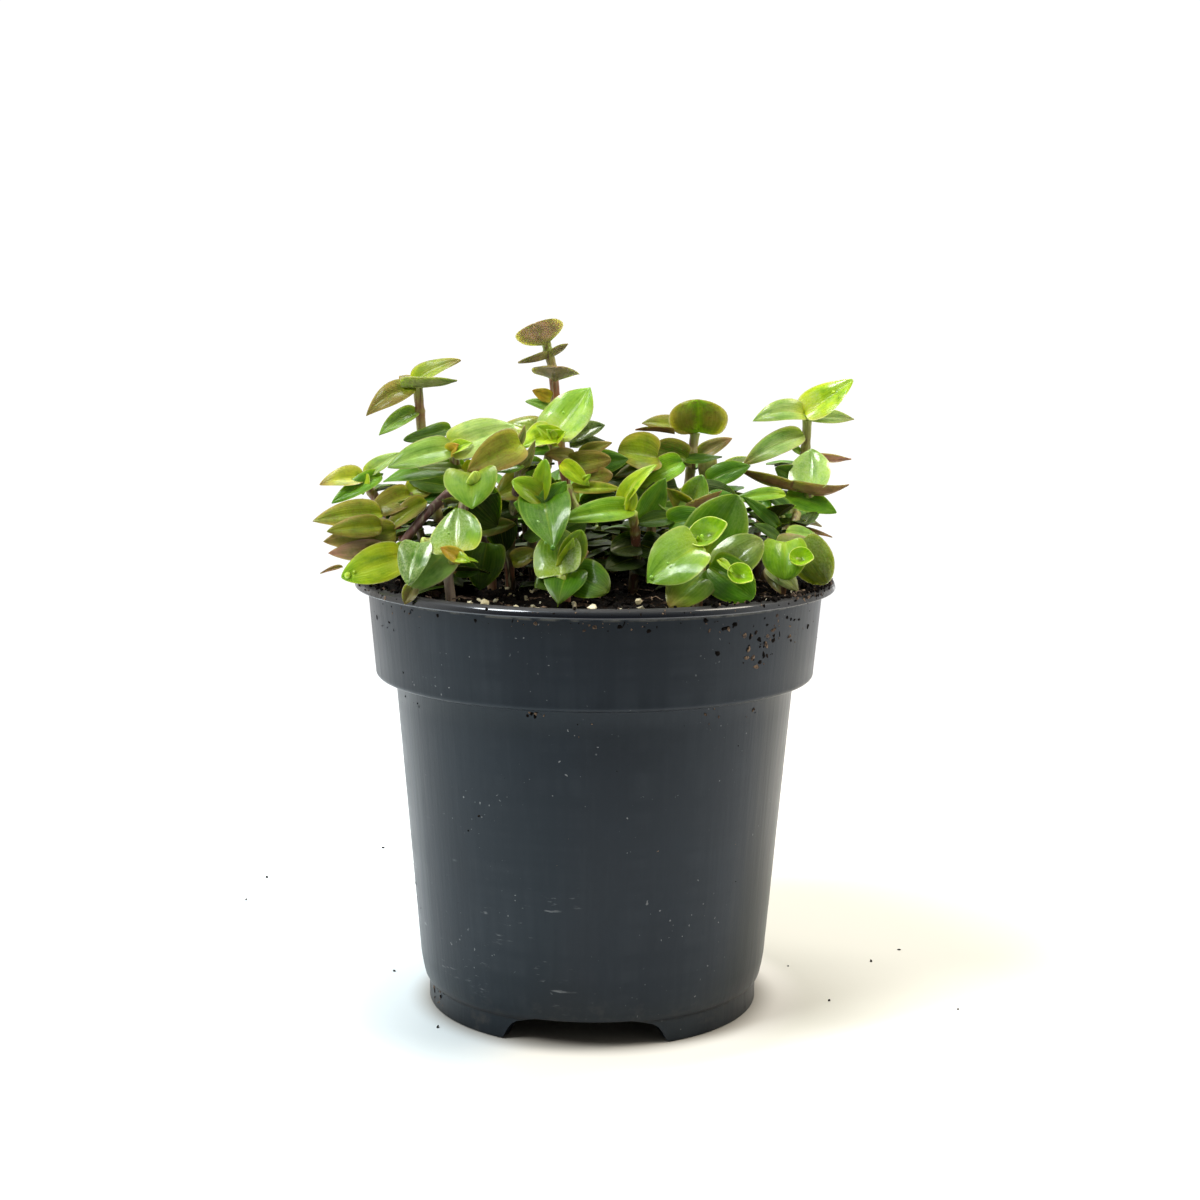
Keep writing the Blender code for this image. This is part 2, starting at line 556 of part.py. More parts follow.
def build_plant():
    mats = {
        "stem": material("stem_tan", STEM_TAN, 0.45),
        "lime": material("leaf_lime", LEAF_LIME, 0.35),
        "green": material("leaf_green", LEAF_GREEN, 0.35),
        "dark": material("leaf_dark", LEAF_DARK, 0.4),
        "bronze": material("leaf_bronze", LEAF_BRONZE, 0.45),
    }
    for name, shoot in SHOOTS.items():
        build_shoot(name, shoot, mats)


build_pot()
build_mix({name: shoot["stem"][0][:2] for name, shoot in SHOOTS.items()})
build_plant()
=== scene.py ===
import math
import random

import bpy
from mathutils import Matrix, Vector, noise


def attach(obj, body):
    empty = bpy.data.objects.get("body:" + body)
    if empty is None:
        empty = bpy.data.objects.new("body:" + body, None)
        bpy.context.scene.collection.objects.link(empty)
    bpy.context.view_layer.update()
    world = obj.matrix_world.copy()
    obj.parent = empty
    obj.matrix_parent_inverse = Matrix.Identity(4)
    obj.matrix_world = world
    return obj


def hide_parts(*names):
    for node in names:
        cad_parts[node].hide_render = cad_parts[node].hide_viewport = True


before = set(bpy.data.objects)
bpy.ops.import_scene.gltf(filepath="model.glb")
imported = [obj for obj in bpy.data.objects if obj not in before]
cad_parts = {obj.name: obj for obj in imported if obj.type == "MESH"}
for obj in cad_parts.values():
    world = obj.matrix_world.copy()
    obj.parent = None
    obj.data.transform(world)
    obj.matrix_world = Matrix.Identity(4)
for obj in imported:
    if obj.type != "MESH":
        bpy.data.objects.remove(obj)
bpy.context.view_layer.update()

# ---------------------------------------------------------------- the pot
# A thin round nursery pot of black moulded plastic, in one piece: a tapered body under a wide
# collar, a rolled lip, and a foot ring that three notches part into feet.
MM = 0.001
POT_HEIGHT = 95.0
LIP_RADIUS = 52.5
LIP_THICK = 1.9
LIP_ROUND = 1.3
LIP_LOW_Z = POT_HEIGHT - LIP_THICK
COLLAR_TOP_RADIUS = 49.7
COLLAR_LOW_RADIUS = 48.1
COLLAR_LOW_Z = 73.6
COLLAR_ROUND = 0.9
BODY_TOP_RADIUS = 43.8
BODY_LOW_RADIUS = 38.5
BODY_LOW_Z = 11.0
STEP_RADIUS = 37.1
STEP_Z = 5.4
BASE_Z = 6.3
FOOT_RADIUS = 36.6
FOOT_WIDTH = 3.0
FOOT_ROUND = 0.5
WALL = 1.0
NOTCHES = 3
NOTCH_FIRST = -92.5
NOTCH_NARROW = 15.7
NOTCH_FLARE = 4.3
NOTCH_TOP_Z = 5.9
DRAINS = 6
DRAIN_RADIUS = 3.5
DRAIN_CIRCLE = 26.0
POT_SIDES = 192
DRAIN_SIDES = 24
TOOL_REACH = 1.5


class Wire:
    """One output in a material, so that shading reads as sums and products."""

    def __init__(self, tree, socket=None):
        self.tree, self.socket = tree, socket

    def node(self, kind, settings, inputs, output=0):
        made = self.tree.nodes.new(kind)
        for name, value in settings.items():
            setattr(made, name, value)
        for name, value in inputs.items():
            if isinstance(value, Wire):
                self.tree.links.new(value.socket, made.inputs[name])
            else:
                made.inputs[name].default_value = value
        return Wire(self.tree, made.outputs[output])

    def sum(self, operation, first, second=0.0):
        return self.node("ShaderNodeMath", {"operation": operation}, {0: first, 1: second})

    def __add__(self, other):
        return self.sum("ADD", self, other)

    def __sub__(self, other):
        return self.sum("SUBTRACT", self, other)

    def __rsub__(self, other):
        return self.sum("SUBTRACT", other, self)

    def __mul__(self, other):
        return self.sum("MULTIPLY", self, other)

    __radd__, __rmul__ = __add__, __mul__

    def step(self, low, high):
        """0 below low and 1 above high, with a soft change between; low may be the larger."""
        return self.node("ShaderNodeMapRange", {"interpolation_type": "SMOOTHSTEP"},
                         {"Value": self, "From Min": low, "From Max": high})

    def colour(self, first, second, share, how="MIX"):
        """Colours first and second mixed by share."""
        pair = [c if isinstance(c, Wire) else (*c, 1.0) for c in (first, second)]
        return self.node("ShaderNodeMix", {"data_type": "RGBA", "blend_type": how},
                         {0: share, 6: pair[0], 7: pair[1]}, 2)

    def over(self, second, share, how="MIX"):
        """This colour with a second one laid over it by share."""
        return self.colour(self, second, share, how)

    def parts(self):
        """The three components of a vector wire."""
        made = self.node("ShaderNodeSeparateXYZ", {}, {0: self})
        return [Wire(self.tree, socket) for socket in made.socket.node.outputs]

    def stretched(self, x, y, z):
        return self.node("ShaderNodeVectorMath", {"operation": "MULTIPLY"}, {0: self, 1: (x, y, z)})

    def noise(self, scale, detail=2.0, rough=0.5):
        """Soft random values around 0.5; scale counts features in a metre."""
        return self.node("ShaderNodeTexNoise", {},
                         {"Vector": self, "Scale": scale, "Detail": detail, "Roughness": rough})


def finish_of(name):
    """A new material, its Principled shader, and a wire of the piece's own coordinates in metres."""
    mat = bpy.data.materials.new(name)
    mat.use_nodes = True
    shader = mat.node_tree.nodes["Principled BSDF"]
    place = Wire(mat.node_tree).node("ShaderNodeTexCoord", {}, {}, 3)
    return mat, shader, place


def feed(shader, **values):
    """Give wires or plain values to the shader's sockets; a socket's name has _ for each space."""
    for name, value in values.items():
        socket = shader.inputs[name.replace("_", " ")]
        if isinstance(value, Wire):
            value.tree.links.new(value.socket, socket)
        else:
            socket.default_value = value


def bumped(height, depth, strength=1.0):
    """A normal from a height wire of 0 to 1 that stands for depth in metres."""
    return height.node("ShaderNodeBump", {}, {"Height": height, "Distance": depth, "Strength": strength})


def solid(name, points, faces, mat=None):
    """An object of points in millimetres and faces."""
    mesh = bpy.data.meshes.new(name)
    mesh.from_pydata([tuple(c * MM for c in p) for p in points], [], faces)
    if mat:
        mesh.materials.append(mat)
    obj = bpy.data.objects.new(name, mesh)
    bpy.context.collection.objects.link(obj)
    return obj


class Gathered:
    """Points, faces and painted values of one piece, gathered before its mesh is made."""

    def __init__(self):
        self.points, self.faces, self.painted = [], [], {}

    def add(self, points, faces, **painted):
        """painted values are one per point, or a single one for them all."""
        first = len(self.points)
        self.points += [tuple(p) for p in points]
        self.faces += [[first + i for i in face] for face in faces]
        for name, value in painted.items():
            each = value if isinstance(value, list) else [value] * len(points)
            self.painted.setdefault(name, []).extend(each)

    def piece(self, name, mat, slot, sharp=None):
        """Make the object and let it ride on the part; edges are kept from sharp degrees up."""
        obj = solid(name, self.points, self.faces, mat)
        for kind, values in self.painted.items():
            layer = obj.data.attributes.new(kind, "FLOAT_VECTOR", "POINT")
            layer.data.foreach_set("vector", [c for value in values for c in value])
        if sharp != 0:
            obj.data.shade_smooth()
        if sharp:
            obj.data.set_sharp_from_angle(angle=math.radians(sharp))
        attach(obj, "root")
        return obj


def lerp(a, b, t):
    return a + (b - a) * t


def arc(centre, radius, start, stop, steps):
    """Points of an arc in the (r, z) plane, from start to stop in degrees."""
    angles = [math.radians(lerp(start, stop, i / steps)) for i in range(steps + 1)]
    return [(centre[0] + radius * math.cos(a), centre[1] + radius * math.sin(a)) for a in angles]


def circle(sides):
    """The cosine and sine of each corner of a ring."""
    turns = [2 * math.pi * i / sides for i in range(sides)]
    return [(math.cos(a), math.sin(a)) for a in turns]


def joined(rings, sides, first=0, back=False):
    """Faces from each ring of points to the next one; back turns them the other way round."""
    faces = []
    for low in range(first, first + (rings - 1) * sides, sides):
        for i in range(sides):
            j = (i + 1) % sides
            a, b, c, d = low + i, low + j, low + sides + j, low + sides + i
            faces.append((a, d, c, b) if back else (a, b, c, d))
    return faces


def fan(hub, first, sides, back=False):
    """Faces from a hub point to a ring of points; back turns them the other way round."""
    pairs = [(first + i, first + (i + 1) % sides) for i in range(sides)]
    return [(hub, b, a) if back else (hub, a, b) for a, b in pairs]


def prism(sides):
    """Faces of a solid between two rings."""
    return [list(range(sides))[::-1], list(range(sides, 2 * sides)), *joined(2, sides)]


def turned(profile, sides):
    """Points and faces of a profile turned about the Z axis, closed at both ends on it."""
    points = [(r * across, r * along, z) for r, z in profile[1:-1] for across, along in circle(sides)]
    rings, hub = len(profile) - 2, len(points)
    points += [(0, 0, profile[0][1]), (0, 0, profile[-1][1])]
    return points, joined(rings, sides) + fan(hub, 0, sides, True) + fan(hub + 1, hub - sides, sides)


def pot_profile():
    """The pot's section as (r, z): from under the base up the outside, over the lip and down inside."""
    foot_inner = FOOT_RADIUS - FOOT_WIDTH
    base_top = BASE_Z + WALL
    side = [(BODY_LOW_RADIUS, BODY_LOW_Z), (BODY_TOP_RADIUS, COLLAR_LOW_Z - 0.5)]
    out = [(0, BASE_Z), (foot_inner * 0.5, BASE_Z), (foot_inner - 0.4, BASE_Z)]
    out += arc((foot_inner - 0.4, BASE_Z - 0.4), 0.4, 90, 0, 3)
    out += arc((foot_inner + FOOT_ROUND, FOOT_ROUND), FOOT_ROUND, 180, 270, 4)
    out += arc((FOOT_RADIUS - FOOT_ROUND, FOOT_ROUND), FOOT_ROUND, -90, 0, 4)
    out += [(FOOT_RADIUS, STEP_Z - 0.7), (FOOT_RADIUS + 0.12, STEP_Z - 0.35), (STEP_RADIUS, STEP_Z)]
    out += [(lerp(STEP_RADIUS, BODY_LOW_RADIUS, t ** 0.6), lerp(STEP_Z, BODY_LOW_Z, t))
            for t in (0.15, 0.3, 0.5, 0.75)]
    out += [(lerp(side[0][0], side[1][0], t / 12), lerp(side[0][1], side[1][1], t / 12)) for t in range(13)]
    out += [(BODY_TOP_RADIUS + 0.15, COLLAR_LOW_Z - 0.12), (BODY_TOP_RADIUS + 0.5, COLLAR_LOW_Z)]
    out += [(COLLAR_LOW_RADIUS - 1.6, COLLAR_LOW_Z)]
    out += arc((COLLAR_LOW_RADIUS - COLLAR_ROUND, COLLAR_LOW_Z + COLLAR_ROUND), COLLAR_ROUND, -90, -2, 5)
    out += [(lerp(COLLAR_LOW_RADIUS, COLLAR_TOP_RADIUS, t / 6),
             lerp(COLLAR_LOW_Z + 1.2, LIP_LOW_Z - 0.6, t / 6)) for t in range(7)]
    out += arc((COLLAR_TOP_RADIUS + 0.7, LIP_LOW_Z - 0.5), 0.5, 180, 90, 3)
    out += arc((LIP_RADIUS - 0.3, LIP_LOW_Z + 0.3), 0.3, -90, 12, 5)
    out += arc((LIP_RADIUS - LIP_ROUND - 0.12, POT_HEIGHT - LIP_ROUND), LIP_ROUND, 14, 90, 10)
    ins = [(COLLAR_TOP_RADIUS + 1.0, POT_HEIGHT), (COLLAR_TOP_RADIUS + 0.3, POT_HEIGHT - 0.1)]
    ins += [(COLLAR_TOP_RADIUS - 0.3, POT_HEIGHT - 0.7), (COLLAR_TOP_RADIUS - WALL, LIP_LOW_Z - 1.0)]
    ins += [(COLLAR_LOW_RADIUS - WALL, COLLAR_LOW_Z + WALL + 0.6)]
    ins += [(COLLAR_LOW_RADIUS - WALL - 0.6, COLLAR_LOW_Z + WALL)]
    ins += [(BODY_TOP_RADIUS - WALL, COLLAR_LOW_Z + WALL)]
    ins += [(BODY_LOW_RADIUS - WALL, BODY_LOW_Z), (STEP_RADIUS - WALL, base_top + 0.8)]
    ins += [(STEP_RADIUS - WALL - 0.8, base_top), (STEP_RADIUS * 0.5, base_top), (0, base_top)]
    return out + ins


def block(outline, near, far, flare, turn):
    """A tool solid: an outline in (across, z), drawn out from near to far, flared, and turned."""
    spin = Matrix.Rotation(math.radians(turn), 3, "Z")
    points = [spin @ Vector((r, across + math.copysign(wider, across), z))
              for r, wider in ((near, 0.0), (far, flare)) for across, z in outline]
    return points, prism(len(outline))


def pared(obj, tools):
    """Cut the tool solids out of the piece, and keep the result as its mesh."""
    cutters = [solid("tool", points, faces) for points, faces in tools]
    for cutter in cutters:
        cutting = obj.modifiers.new("cut", "BOOLEAN")
        cutting.operation, cutting.solver, cutting.object = "DIFFERENCE", "EXACT", cutter
    shaped = bpy.data.meshes.new_from_object(obj.evaluated_get(bpy.context.evaluated_depsgraph_get()))
    obj.modifiers.clear()
    obj.data = shaped
    for cutter in cutters:
        bpy.data.objects.remove(cutter, do_unlink=True)


def black_plastic():
    """Satin black with flow lines from the mould, rubbed patches, specks, and peat at foot and lip."""
    mat, shader, place = finish_of("black_plastic")
    sideways, _, height = place.parts()
    streaks = place.stretched(1, 1, 0.03).noise(420, 3)
    bands = place.stretched(1, 1, 0.025).noise(120, 3, 0.6)
    rows = place.stretched(0.06, 0.06, 1).noise(210, 2)
    weave = bands.step(0.40, 0.66) * rows.step(0.36, 0.64)
    rubbed = place.stretched(1, 1, 0.12).noise(260, 4, 0.7).step(0.56, 0.80)
    specks = place.noise(1100, 1).step(0.73, 0.79) * place.noise(70, 1).step(0.50, 0.60)
    low_left = height.step(0.048, 0.036) * height.step(0.006, 0.014) * sideways.step(0.002, -0.008)
    slant = place.stretched(0.22, 0.22, 1.0).noise(980, 3, 0.6)
    scuffs = slant.step(0.60, 0.74) * place.noise(110, 2).step(0.52, 0.64) * low_left
    dust = place.noise(60, 4, 0.6).step(0.45, 0.85)
    low_dirt = height.step(0.014, 0.002) * place.noise(240, 4, 0.7).step(0.50, 0.72)
    under, top = LIP_LOW_Z * MM, POT_HEIGHT * MM
    line = height.step(under - 0.0010, under - 0.0007) * height.step(under - 0.0001, under - 0.0002)
    line = line * place.noise(300, 3).step(0.38, 0.60)
    lip = height.step(under - 0.0002, under)
    crown = height.step(top - 0.0008, top - 0.0002)
    ends = sideways.sum("ABSOLUTE", sideways).step(0.030, 0.046) * place.noise(160, 3, 0.6).step(0.25, 0.50)
    base = place.colour((0.001, 0.0030, 0.0065), (0.002, 0.005, 0.0095), dust)
    worn = rubbed * 0.25 + weave * 0.45 + streaks.step(0.52, 0.70) * 0.12
    base = base.over((0.014, 0.018, 0.023), worn)
    base = base.over((0.045, 0.040, 0.034), low_dirt * 0.5)
    base = base.over((0.30, 0.31, 0.31), specks * 0.5 + scuffs * 0.40)
    base = base.over((0.30, 0.28, 0.22), line * 0.22)
    base = base.over((0.001, 0.002, 0.005), lip)
    base = base.over((0.014, 0.010, 0.007), lip * (ends * (1 - crown) + crown) * 0.8)
    rough = 0.31 + bands * 0.06 + rubbed * 0.12 + weave * 0.05 + low_dirt * 0.15 + specks * 0.3
    rough = rough * (1 - lip * 0.55) + lip * ends * 0.12 + crown * 0.5
    feed(shader, Base_Color=base, Roughness=rough, Coat_Weight=lip * (1 - ends) * (1 - crown),
         Normal=bumped(streaks * 1.5 + bands * 1.2 + place.noise(1500, 2) * 0.25, 0.00007, 0.6),
         Specular_IOR_Level=0.33, Specular_Tint=(0.82, 0.93, 1.0, 1.0), Coat_Roughness=0.05, Coat_IOR=1.60)
    return mat


shell = Gathered()
shell.add(*turned(pot_profile(), POT_SIDES))
pot = shell.piece("nursery_pot", black_plastic(), "black_plastic")
notch = [(-NOTCH_NARROW - 2.0, -1.0), (NOTCH_NARROW + 2.0, -1.0)]
notch += [(NOTCH_NARROW - back, NOTCH_TOP_Z - under)
          for back, under in ((-1.3, 5.9), (-0.6, 5.7), (-0.1, 5.2), (0.2, 4.6), (0.9, 3.4),
                              (1.9, 2.2), (3.2, 1.4), (4.8, 1.0), (6.2, 0.5), (8.5, 0.0))]
notch += [(-across, z) for across, z in notch[:1:-1]]
cuts = [block(notch, FOOT_RADIUS - 2.6 * FOOT_WIDTH, FOOT_RADIUS + FOOT_WIDTH, NOTCH_FLARE, turn)
        for turn in (NOTCH_FIRST + 360 / NOTCHES * k for k in range(NOTCHES))]
for k in range(DRAINS):
    turn = math.radians(NOTCH_FIRST + 360 / DRAINS * (k + 0.5))
    x, y = DRAIN_CIRCLE * math.cos(turn), DRAIN_CIRCLE * math.sin(turn)
    hole = [(x + DRAIN_RADIUS * across, y + DRAIN_RADIUS * along, z)
            for z in (BASE_Z - TOOL_REACH, BASE_Z + WALL + TOOL_REACH)
            for across, along in circle(DRAIN_SIDES)]
    cuts.append((hole, prism(DRAIN_SIDES)))
pared(pot, cuts)
pot.data.shade_smooth()
pot.data.set_sharp_from_angle(angle=math.radians(32))
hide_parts("pot")

# ---------------------------------------------------------------- the potting mix
# Dark peat with bark fibres and pale perlite, filled to just under the lip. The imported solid
# below stays as it is; a loose, lumpy crust of crumbs, fibres and perlite lies on it.
MIX_TOP_Z = 92.2
CRUST_RADIUS = 48.4
CRUST_RINGS = 44
CRUST_SIDES = 132
CRUMBS = 1500
FIBRES = 230


def peat():
    """Moist dark peat with browner grains."""
    mat, shader, place = finish_of("peat_mix")
    grain = place.noise(900, 4, 0.7)
    clods = place.noise(180, 3, 0.6)
    base = place.colour((0.002, 0.0014, 0.0009), (0.020, 0.011, 0.006), grain.step(0.46, 0.78))
    base = base.over((0.08, 0.042, 0.020), place.noise(520, 2).step(0.68, 0.76) * 0.5)
    feed(shader, Base_Color=base, Roughness=0.72 + clods * 0.25,
         Normal=bumped(grain + clods, 0.0006, 0.8), Specular_IOR_Level=0.08)
    return mat


def mix_height(x, y):
    """The settled top of the mix: a low heap, with gentle lumps."""
    heap = 0.9 * (1 - (x * x + y * y) / 48.0 ** 2)
    lumps = 0.5 * math.sin(0.21 * x + 1.0) * math.cos(0.17 * y) + 0.3 * math.sin(0.33 * y + 0.25 * x)
    return MIX_TOP_Z + heap + lumps


def crust_height(x, y):
    """The loose top: the settled mix, and lumps and pits of a millimetre or so."""
    lump = noise.noise(Vector((x, y, 3.0)) * 0.33) * 0.9 + noise.noise(Vector((x, y, 9.0)) * 0.9) * 0.5
    fine = noise.noise(Vector((x, y, 5.0)) * 2.1) * 0.25
    return mix_height(x, y) + 0.55 + max(-0.45, lump + fine)


def chunk(rnd, size, squeeze):
    """A small broken lump, as points and faces: a cube's corners and face centres, pushed about."""
    corners = [(x, y, z) for x in (-1, 1) for y in (-1, 1) for z in (-1, 1)]
    middles = [(s, 0, 0) for s in (-1, 1)] + [(0, s, 0) for s in (-1, 1)] + [(0, 0, s) for s in (-1, 1)]
    shape = [Vector(c).normalized() * rnd.uniform(0.62, 1.15) for c in corners + middles]
    stretch = Vector([size * (1 + rnd.uniform(-squeeze, squeeze)) for _ in range(3)])
    spin = Matrix.Rotation(rnd.uniform(0, 6.28), 3, Vector((rnd.random(), rnd.random(), rnd.random() + 0.1)))
    points = [spin @ Vector([p[k] * stretch[k] for k in range(3)]) for p in shape]
    rings = (0, 1, 3, 2), (4, 6, 7, 5), (0, 4, 5, 1), (2, 3, 7, 6), (0, 2, 6, 4), (1, 5, 7, 3)
    faces = [(8 + m, ring[k], ring[(k + 1) % 4]) for m, ring in enumerate(rings) for k in range(4)]
    return points, faces


def put(shape, x, y, z):
    """The points and faces of a shape, moved."""
    points, faces = shape
    return [(p[0] + x, p[1] + y, p[2] + z) for p in points], faces


def dome(rings, sides):
    """Faces of a solid whose points are its top, the rings below it, and its bottom."""
    last = 1 + (rings - 1) * sides
    return fan(0, 1, sides) + joined(rings, sides, 1, True) + fan(last + sides, last, sides, True)


def anywhere(rnd, radius):
    """A random spot on a disc."""
    r, a = radius * math.sqrt(rnd.random()), rnd.uniform(0, 2 * math.pi)
    return r * math.cos(a), r * math.sin(a)


dirt = peat()
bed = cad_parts["potting_mix"]
for slot in bed.material_slots:
    slot.material = dirt

crust = Gathered()
points = [(0, 0, crust_height(0, 0))]
for i in range(1, CRUST_RINGS + 1):
    for across, along in circle(CRUST_SIDES):
        x, y = CRUST_RADIUS * i / CRUST_RINGS * across, CRUST_RADIUS * i / CRUST_RINGS * along
        points.append((x, y, crust_height(x, y) - (1.4 if i == CRUST_RINGS else 0.0)))
points.append((0, 0, MIX_TOP_Z - 2.0))
crust.add(points, dome(CRUST_RINGS, CRUST_SIDES))
crust.piece("mix_crust", dirt, "peat_mix")

rnd = random.Random(11)
crumbs = Gathered()
for _ in range(CRUMBS):
    x, y = anywhere(rnd, CRUST_RADIUS)
    size = 0.22 + 0.75 * rnd.random() ** 3
    if math.hypot(x, y) < CRUST_RADIUS - size:
        crumbs.add(*put(chunk(rnd, size, 0.4), x, y, crust_height(x, y) + 0.3 * size))
crumbs.piece("mix_crumbs", dirt, "peat_mix", sharp=0)


def bark():
    """Brown bark, paler in patches."""
    mat, shader, place = finish_of("bark_fibre")
    base = place.colour((0.040, 0.022, 0.012), (0.21, 0.135, 0.075), place.noise(1300, 3).step(0.42, 0.66))
    feed(shader, Base_Color=base, Roughness=0.7 + place.noise(900) * 0.2,
         Normal=bumped(place.noise(2200, 2), 0.0001))
    return mat


def fibre(rnd, length, girth):
    """A bent strand of three sides, lying about flat."""
    turn, bend = rnd.uniform(0, 2 * math.pi), rnd.uniform(-0.5, 0.5)
    points, x, y = [], 0.0, 0.0
    for i in range(6):
        x += length / 5 * math.cos(turn + bend * i * 0.4)
        y += length / 5 * math.sin(turn + bend * i * 0.4)
        z = 0.12 * length * math.sin(math.pi * i / 5) * rnd.uniform(0.3, 1.4)
        size = girth * (0.5 + 0.5 * math.sin(math.pi * (i + 0.7) / 6.4))
        for across, up in circle(3):
            points.append((x + size * across * math.sin(turn), y - size * across * math.cos(turn),
                           z + size * up))
    return points, [(0, 2, 1), (15, 16, 17), *joined(6, 3)]


strand = bark()
fibres = Gathered()
for _ in range(FIBRES):
    x, y = anywhere(rnd, CRUST_RADIUS - 3.0)
    one = fibre(rnd, rnd.uniform(1.2, 4.5), rnd.uniform(0.1, 0.3))
    fibres.add(*put(one, x, y, crust_height(x, y) + 0.35))
fibres.piece("bark_fibres", strand, "peat_mix", sharp=40)


def perlite():
    """Cream perlite, stained by the peat."""
    mat, shader, place = finish_of("perlite")
    base = place.colour((0.44, 0.37, 0.19), (0.74, 0.69, 0.48), place.noise(380, 3).step(0.35, 0.65))
    base = base.over((0.20, 0.14, 0.07), place.noise(900, 3).step(0.60, 0.72) * 0.6)
    feed(shader, Base_Color=base, Roughness=0.75 + place.noise(1200) * 0.2,
         Normal=bumped(place.noise(2600, 3), 0.0003))
    return mat


def near(rnd, patches):
    """A random spot in one of the patches, each (x, y, spread, how many)."""
    for x, y, spread, count in patches:
        for _ in range(count):
            yield x + rnd.gauss(0, spread), y + rnd.gauss(0, spread * 0.7)


grit = Gathered()
PERLITE_PATCHES = [
    (-14, -42, 5, 26), (-25, -39, 4, 12), (-19, -30, 5, 16), (-20, -14, 5, 12), (-14, -22, 4, 10),
    (13, -42, 5, 14), (5, -43, 5, 9), (0, 10, 22, 40), (-25, 25, 14, 22), (25, 25, 14, 22), (36, -27, 6, 8),
]
for x, y in near(rnd, PERLITE_PATCHES):
    size = 0.22 + 0.85 * rnd.random() ** 2.0
    if math.hypot(x, y) < CRUST_RADIUS - 0.6 - size:
        grit.add(*put(chunk(rnd, size, 0.5), x, y, crust_height(x, y) + 0.35 * size))
grit.piece("perlite_grit", perlite(), "peat_mix", sharp=0)


def wall_radius(z):
    """The pot's outside at a height."""
    if z > LIP_LOW_Z:
        return LIP_RADIUS - 0.15
    if z > COLLAR_LOW_Z + 1:
        return lerp(COLLAR_LOW_RADIUS, COLLAR_TOP_RADIUS, (z - COLLAR_LOW_Z - 1.2) / 18.0)
    if z < BODY_LOW_Z:
        return FOOT_RADIUS if z < STEP_Z else STEP_RADIUS
    return lerp(BODY_LOW_RADIUS, BODY_TOP_RADIUS, (z - BODY_LOW_Z) / (COLLAR_LOW_Z - BODY_LOW_Z - 0.5))


# Mix that splashed on the wall: azimuth (0 in front, 90 to the right), height, spread of each,
# how many, and the largest crumb.
SPLASHES = [
    (44, 86.5, 5, 2.8, 44, 0.8), (54, 88.5, 7, 2.5, 22, 0.6), (31, 90.0, 2, 0.8, 6, 0.7),
    (-45, 91.0, 8, 0.5, 9, 0.5), (-20, 91.3, 7, 0.4, 10, 0.5), (4, 91.2, 8, 0.4, 14, 0.5),
    (27, 91.4, 4, 0.3, 6, 0.45), (-63, 89.0, 6, 2.5, 10, 0.5), (-15, 72.2, 1.5, 0.25, 9, 0.5),
    (-60, 70.6, 4, 0.5, 5, 0.35),
    (31, 70.4, 3, 1.5, 5, 0.45), (50, 70.2, 2.5, 0.8, 6, 0.4), (-5, 70.5, 2, 0.3, 2, 0.4),
    (-70, 3.8, 5, 1.6, 16, 0.5), (-78, 27, 3, 8, 4, 0.35), (0, 50, 60, 28, 30, 0.22),
    (150, 85, 30, 5, 26, 0.5), (-130, 62, 30, 22, 16, 0.4), (66, 94.2, 11, 0.4, 46, 0.5),
    (-68, 94.2, 9, 0.4, 30, 0.4), (8, 94.3, 16, 0.3, 20, 0.35), (6, 92.0, 12, 0.15, 22, 0.5),
]
splashed = Gathered(), Gathered()
for azimuth, height, wide, tall, count, largest in SPLASHES:
    for _ in range(count):
        a, z = math.radians(rnd.gauss(azimuth, wide)), rnd.gauss(height, tall)
        points, faces = chunk(rnd, largest * (0.25 + 0.9 * rnd.random() ** 2), 0.75)
        points = [(wall_radius(z) + p[0] * 0.45, p[1], z + p[2]) for p in points]
        points = [(out * math.sin(a) + side * math.cos(a), -out * math.cos(a) + side * math.sin(a), up)
                  for out, side, up in points]
        if 1 < z < LIP_LOW_Z - 1.1 or LIP_LOW_Z + 0.2 < z < POT_HEIGHT - 0.1:
            splashed[rnd.random() < 0.45].add(points, faces)
# Crumbs on top of the lip: azimuth, its spread, how many, and the largest.
LIP_CRUMBS = [(62, 15, 210, 0.6), (-74, 12, 130, 0.55), (0, 50, 34, 0.35), (170, 60, 50, 0.5)]
for azimuth, wide, count, largest in LIP_CRUMBS:
    for _ in range(count):
        a, r = math.radians(rnd.gauss(azimuth, wide)), rnd.uniform(LIP_RADIUS - 2.4, LIP_RADIUS - 0.8)
        size = largest * rnd.uniform(0.3, 1.0)
        work = splashed[rnd.random() < 0.3]
        work.add(*put(chunk(rnd, size, 0.5), r * math.sin(a), -r * math.cos(a), POT_HEIGHT + 0.3 * size))
splashed[0].piece("splashed_peat", dirt, "peat_mix", sharp=0)
splashed[1].piece("splashed_bark", strand, "peat_mix", sharp=0)

# ---------------------------------------------------------------- the stems
# Fleshy jointed stems, tan to reddish or lime, faintly striped, thicker at each node where a
# short sheath hugs them. They root in the mix and rise in turns from node to node.
STEM_RADIUS = 1.0
STEM_SWELL = 1.04
PLANT_DEPTH = 5.0
STEM_SIDES = 14

# Each bark's letter and colour.
BARKS = {
    "w": (0.42, 0.33, 0.25), "t": (0.34, 0.235, 0.095), "r": (0.27, 0.085, 0.05), "l": (0.36, 0.46, 0.07),
    "o": (0.30, 0.27, 0.07), "p": (0.20, 0.115, 0.10), "b": (0.13, 0.075, 0.035), "k": (0.05, 0.035, 0.015),
    "e": (0.40, 0.115, 0.045),
}

